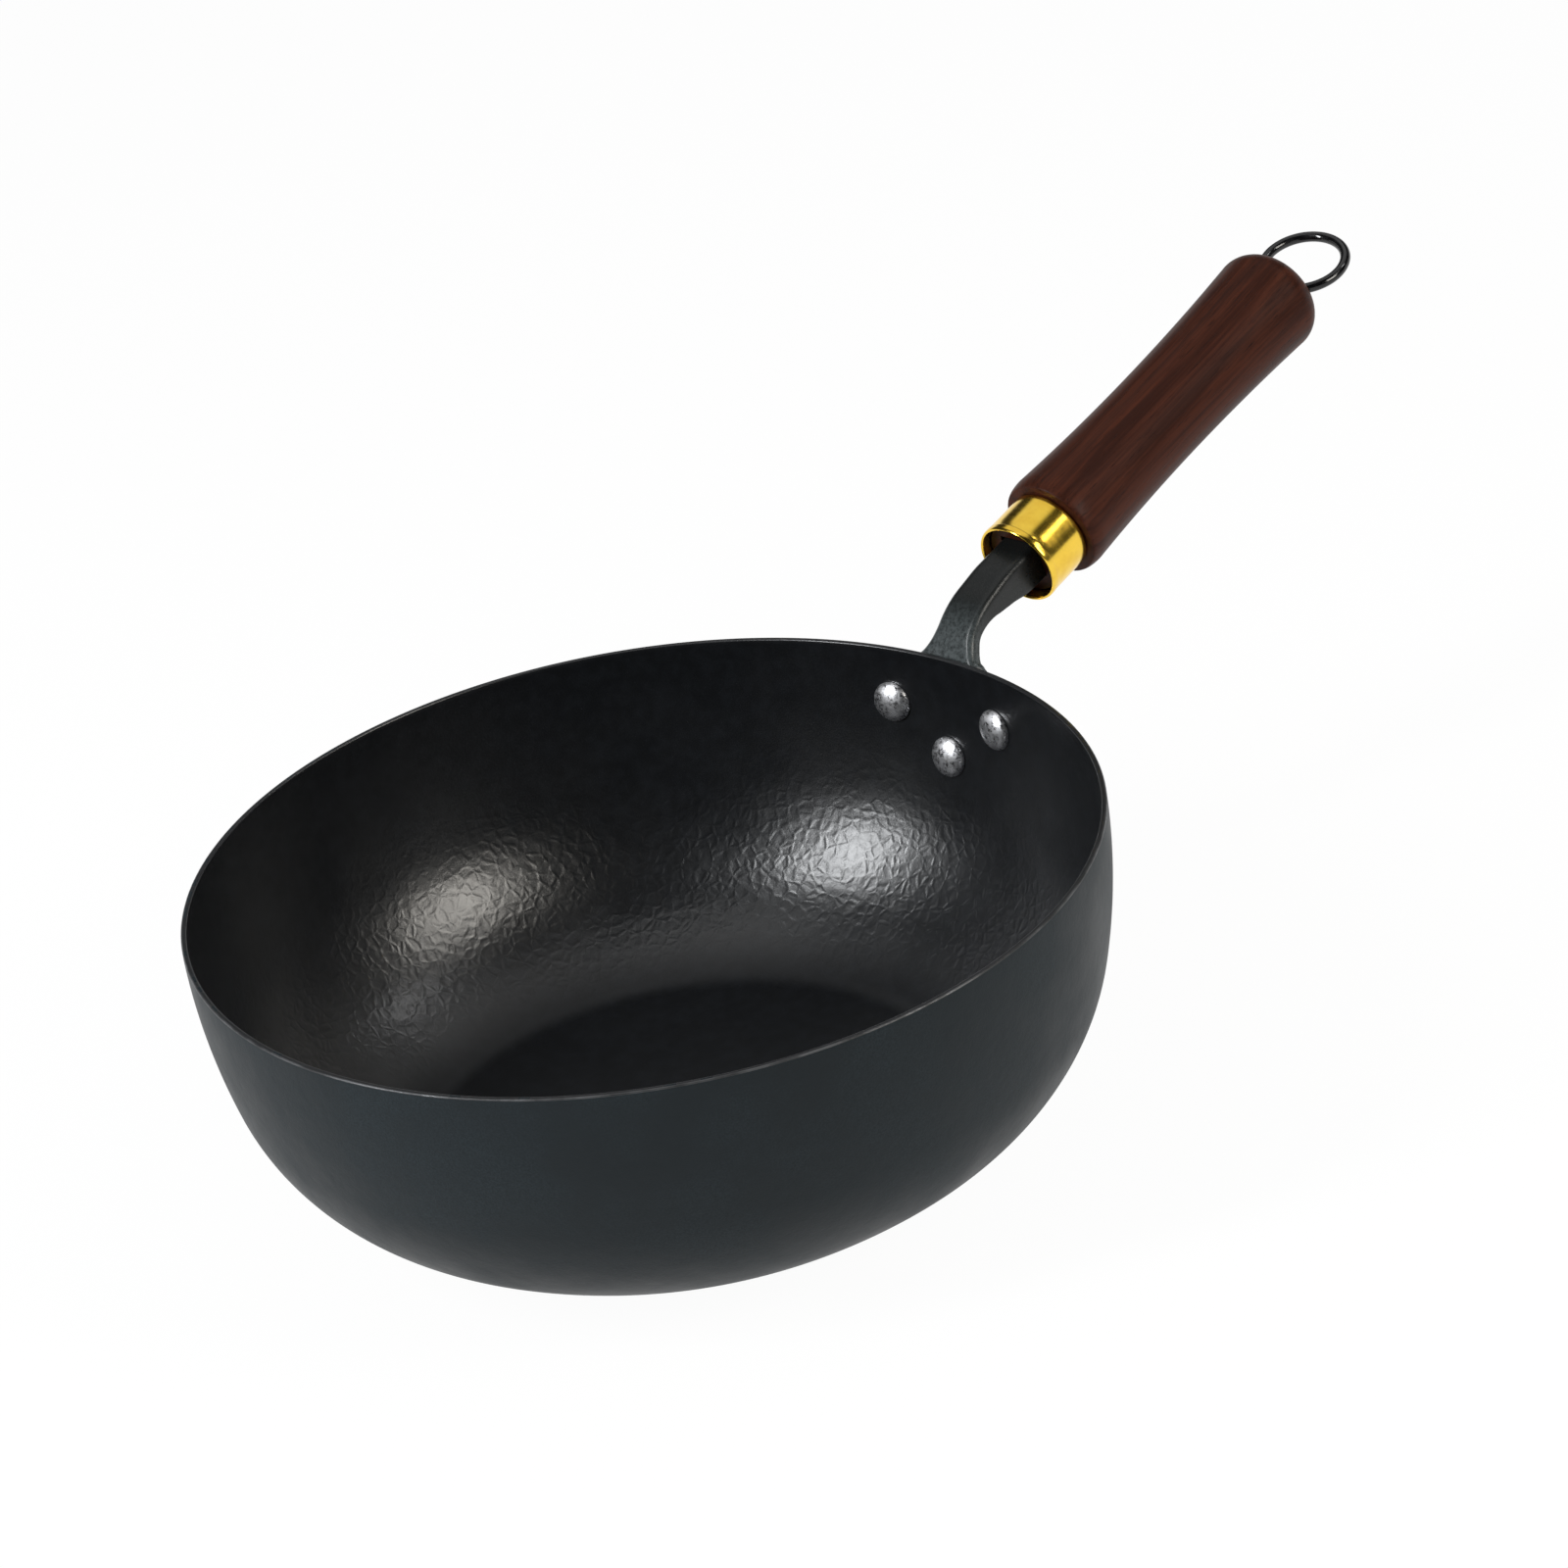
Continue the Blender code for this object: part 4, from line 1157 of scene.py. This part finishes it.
def add_world():
    """White to the camera.  Mirrors see white by the horizon, a pale patch of ceiling, or dark."""
    world = bpy.data.worlds.new("studio")
    world.use_nodes = True
    bpy.context.scene.world = world
    tree = Tree(world.node_tree)
    path = world.node_tree.nodes.new("ShaderNodeLightPath").outputs
    way = tree.add("ShaderNodeTexCoord", output="Generated")
    before = tree.vector("DOT_PRODUCT", way, ROOM_BEFORE, "Value")
    behind = tree.mapped(before, -0.12, 0.02, 1.0, MIRROR_DARK)
    by_horizon = tree.mapped(tree.axis(way, "Z"), 0.12, 0.30, 1.0, MIRROR_DARK)
    low = tree.times(behind, by_horizon)
    above = tree.vector("DOT_PRODUCT", way, PALE_CEILING, "Value")
    high = tree.mapped(above, 0.84, 0.92, 0.0, MIRROR_PALE)
    mirrored = tree.maths("MAXIMUM", low, high)
    mirror = tree.maths("MAXIMUM", path["Is Glossy Ray"], path["Is Transmission Ray"])
    light = tree.mapped(mirror, 0.0, 1.0, WORLD_LIGHT, mirrored, smooth=False)
    strength = tree.mapped(path["Is Camera Ray"], 0.0, 1.0, light, 1.0, smooth=False)
    background = world.node_tree.nodes["Background"].inputs
    tree.plug(background["Color"], WHITE)
    tree.plug(background["Strength"], strength)


def add_lamp(name, azimuth, elevation, width, height, radiance, tint):
    """Soft rectangular lamp that looks at the wok from a direction given in degrees."""
    turn, rise = radians(azimuth), radians(elevation)
    away = Vector((cos(rise) * cos(turn), cos(rise) * sin(turn), sin(rise)))
    data = bpy.data.lights.new(name, "AREA")
    data.shape = "RECTANGLE"
    data.size = width
    data.size_y = height
    data.energy = radiance * pi * width * height
    data.color = tint
    lamp = plain_object(name, data)
    lamp.location = LAMP_TARGET + away * LAMP_DISTANCE
    lamp.rotation_euler = away.to_track_quat("Z", "Y").to_euler()
    lamp.visible_camera = False


def add_camera():
    data = bpy.data.cameras.new("camera")
    data.sensor_width = 36.0
    data.lens = CAMERA_LENS
    data.clip_end = 50.0
    camera = plain_object("camera", data)
    camera.location = CAMERA_PLACE
    camera.rotation_euler = CAMERA_TURN
    bpy.context.scene.camera = camera


def build_stage():
    bpy.context.scene.view_settings.view_transform = "Standard"
    add_floor()
    add_world()
    add_camera()
    for lamp in LAMPS:
        add_lamp(*lamp)


# Operators and panel


class WOK_OT_bowl(Operator):
    """Build the bowl with its pebbled inside and bare rim"""

    bl_idname = "wok.bowl"
    bl_label = "Bowl"

    def execute(self, context):
        build_bowl()
        return {"FINISHED"}


class WOK_OT_bracket(Operator):
    """Build the pressed bracket"""

    bl_idname = "wok.bracket"
    bl_label = "Bracket"

    def execute(self, context):
        build_bracket()
        return {"FINISHED"}


class WOK_OT_rivets(Operator):
    """Build the three rivets"""

    bl_idname = "wok.rivets"
    bl_label = "Rivets"

    def execute(self, context):
        build_rivets()
        return {"FINISHED"}


class WOK_OT_ferrule(Operator):
    """Build the brass ferrule"""

    bl_idname = "wok.ferrule"
    bl_label = "Ferrule"

    def execute(self, context):
        build_ferrule()
        return {"FINISHED"}


class WOK_OT_wooden_handle(Operator):
    """Build the turned wooden handle"""

    bl_idname = "wok.wooden_handle"
    bl_label = "Wooden handle"

    def execute(self, context):
        build_wooden_handle()
        return {"FINISHED"}


class WOK_OT_hanging_eye(Operator):
    """Build the hanging eye with its rod, and finish its nut"""

    bl_idname = "wok.hanging_eye"
    bl_label = "Hanging eye and nut"

    def execute(self, context):
        build_hanging_eye()
        build_clamp_nut()
        return {"FINISHED"}


class WOK_OT_stage(Operator):
    """Set up the floor, the world, the lamps and the camera"""

    bl_idname = "wok.stage"
    bl_label = "Studio"

    def execute(self, context):
        build_stage()
        return {"FINISHED"}


OPERATORS = (WOK_OT_bowl, WOK_OT_bracket, WOK_OT_rivets, WOK_OT_ferrule)
OPERATORS += (WOK_OT_wooden_handle, WOK_OT_hanging_eye, WOK_OT_stage)


class WOK_PT_pieces(Panel):
    """Sizes, colours and pieces of the wok"""

    bl_label = "Iron wok"
    bl_idname = "WOK_PT_pieces"
    bl_space_type = "VIEW_3D"
    bl_region_type = "UI"
    bl_category = "Wok"

    def draw(self, context):
        for group in (sizes(), colours()):
            box = self.layout.box()
            for name in group.__annotations__:
                box.prop(group, name)
        for operator in OPERATORS:
            self.layout.operator(operator.bl_idname)


CLASSES = (WokSizes, WokColours, *OPERATORS, WOK_PT_pieces)


def register():
    for cls in CLASSES:
        bpy.utils.register_class(cls)
    Scene.wok_sizes = PointerProperty(type=WokSizes)
    Scene.wok_colours = PointerProperty(type=WokColours)


def unregister():
    del Scene.wok_colours
    del Scene.wok_sizes
    for cls in reversed(CLASSES):
        bpy.utils.unregister_class(cls)


def main():
    register()
    bpy.ops.wok.bowl()
    bpy.ops.wok.bracket()
    bpy.ops.wok.rivets()
    bpy.ops.wok.ferrule()
    bpy.ops.wok.wooden_handle()
    bpy.ops.wok.hanging_eye()
    bpy.ops.wok.stage()


if __name__ == "__main__":
    main()
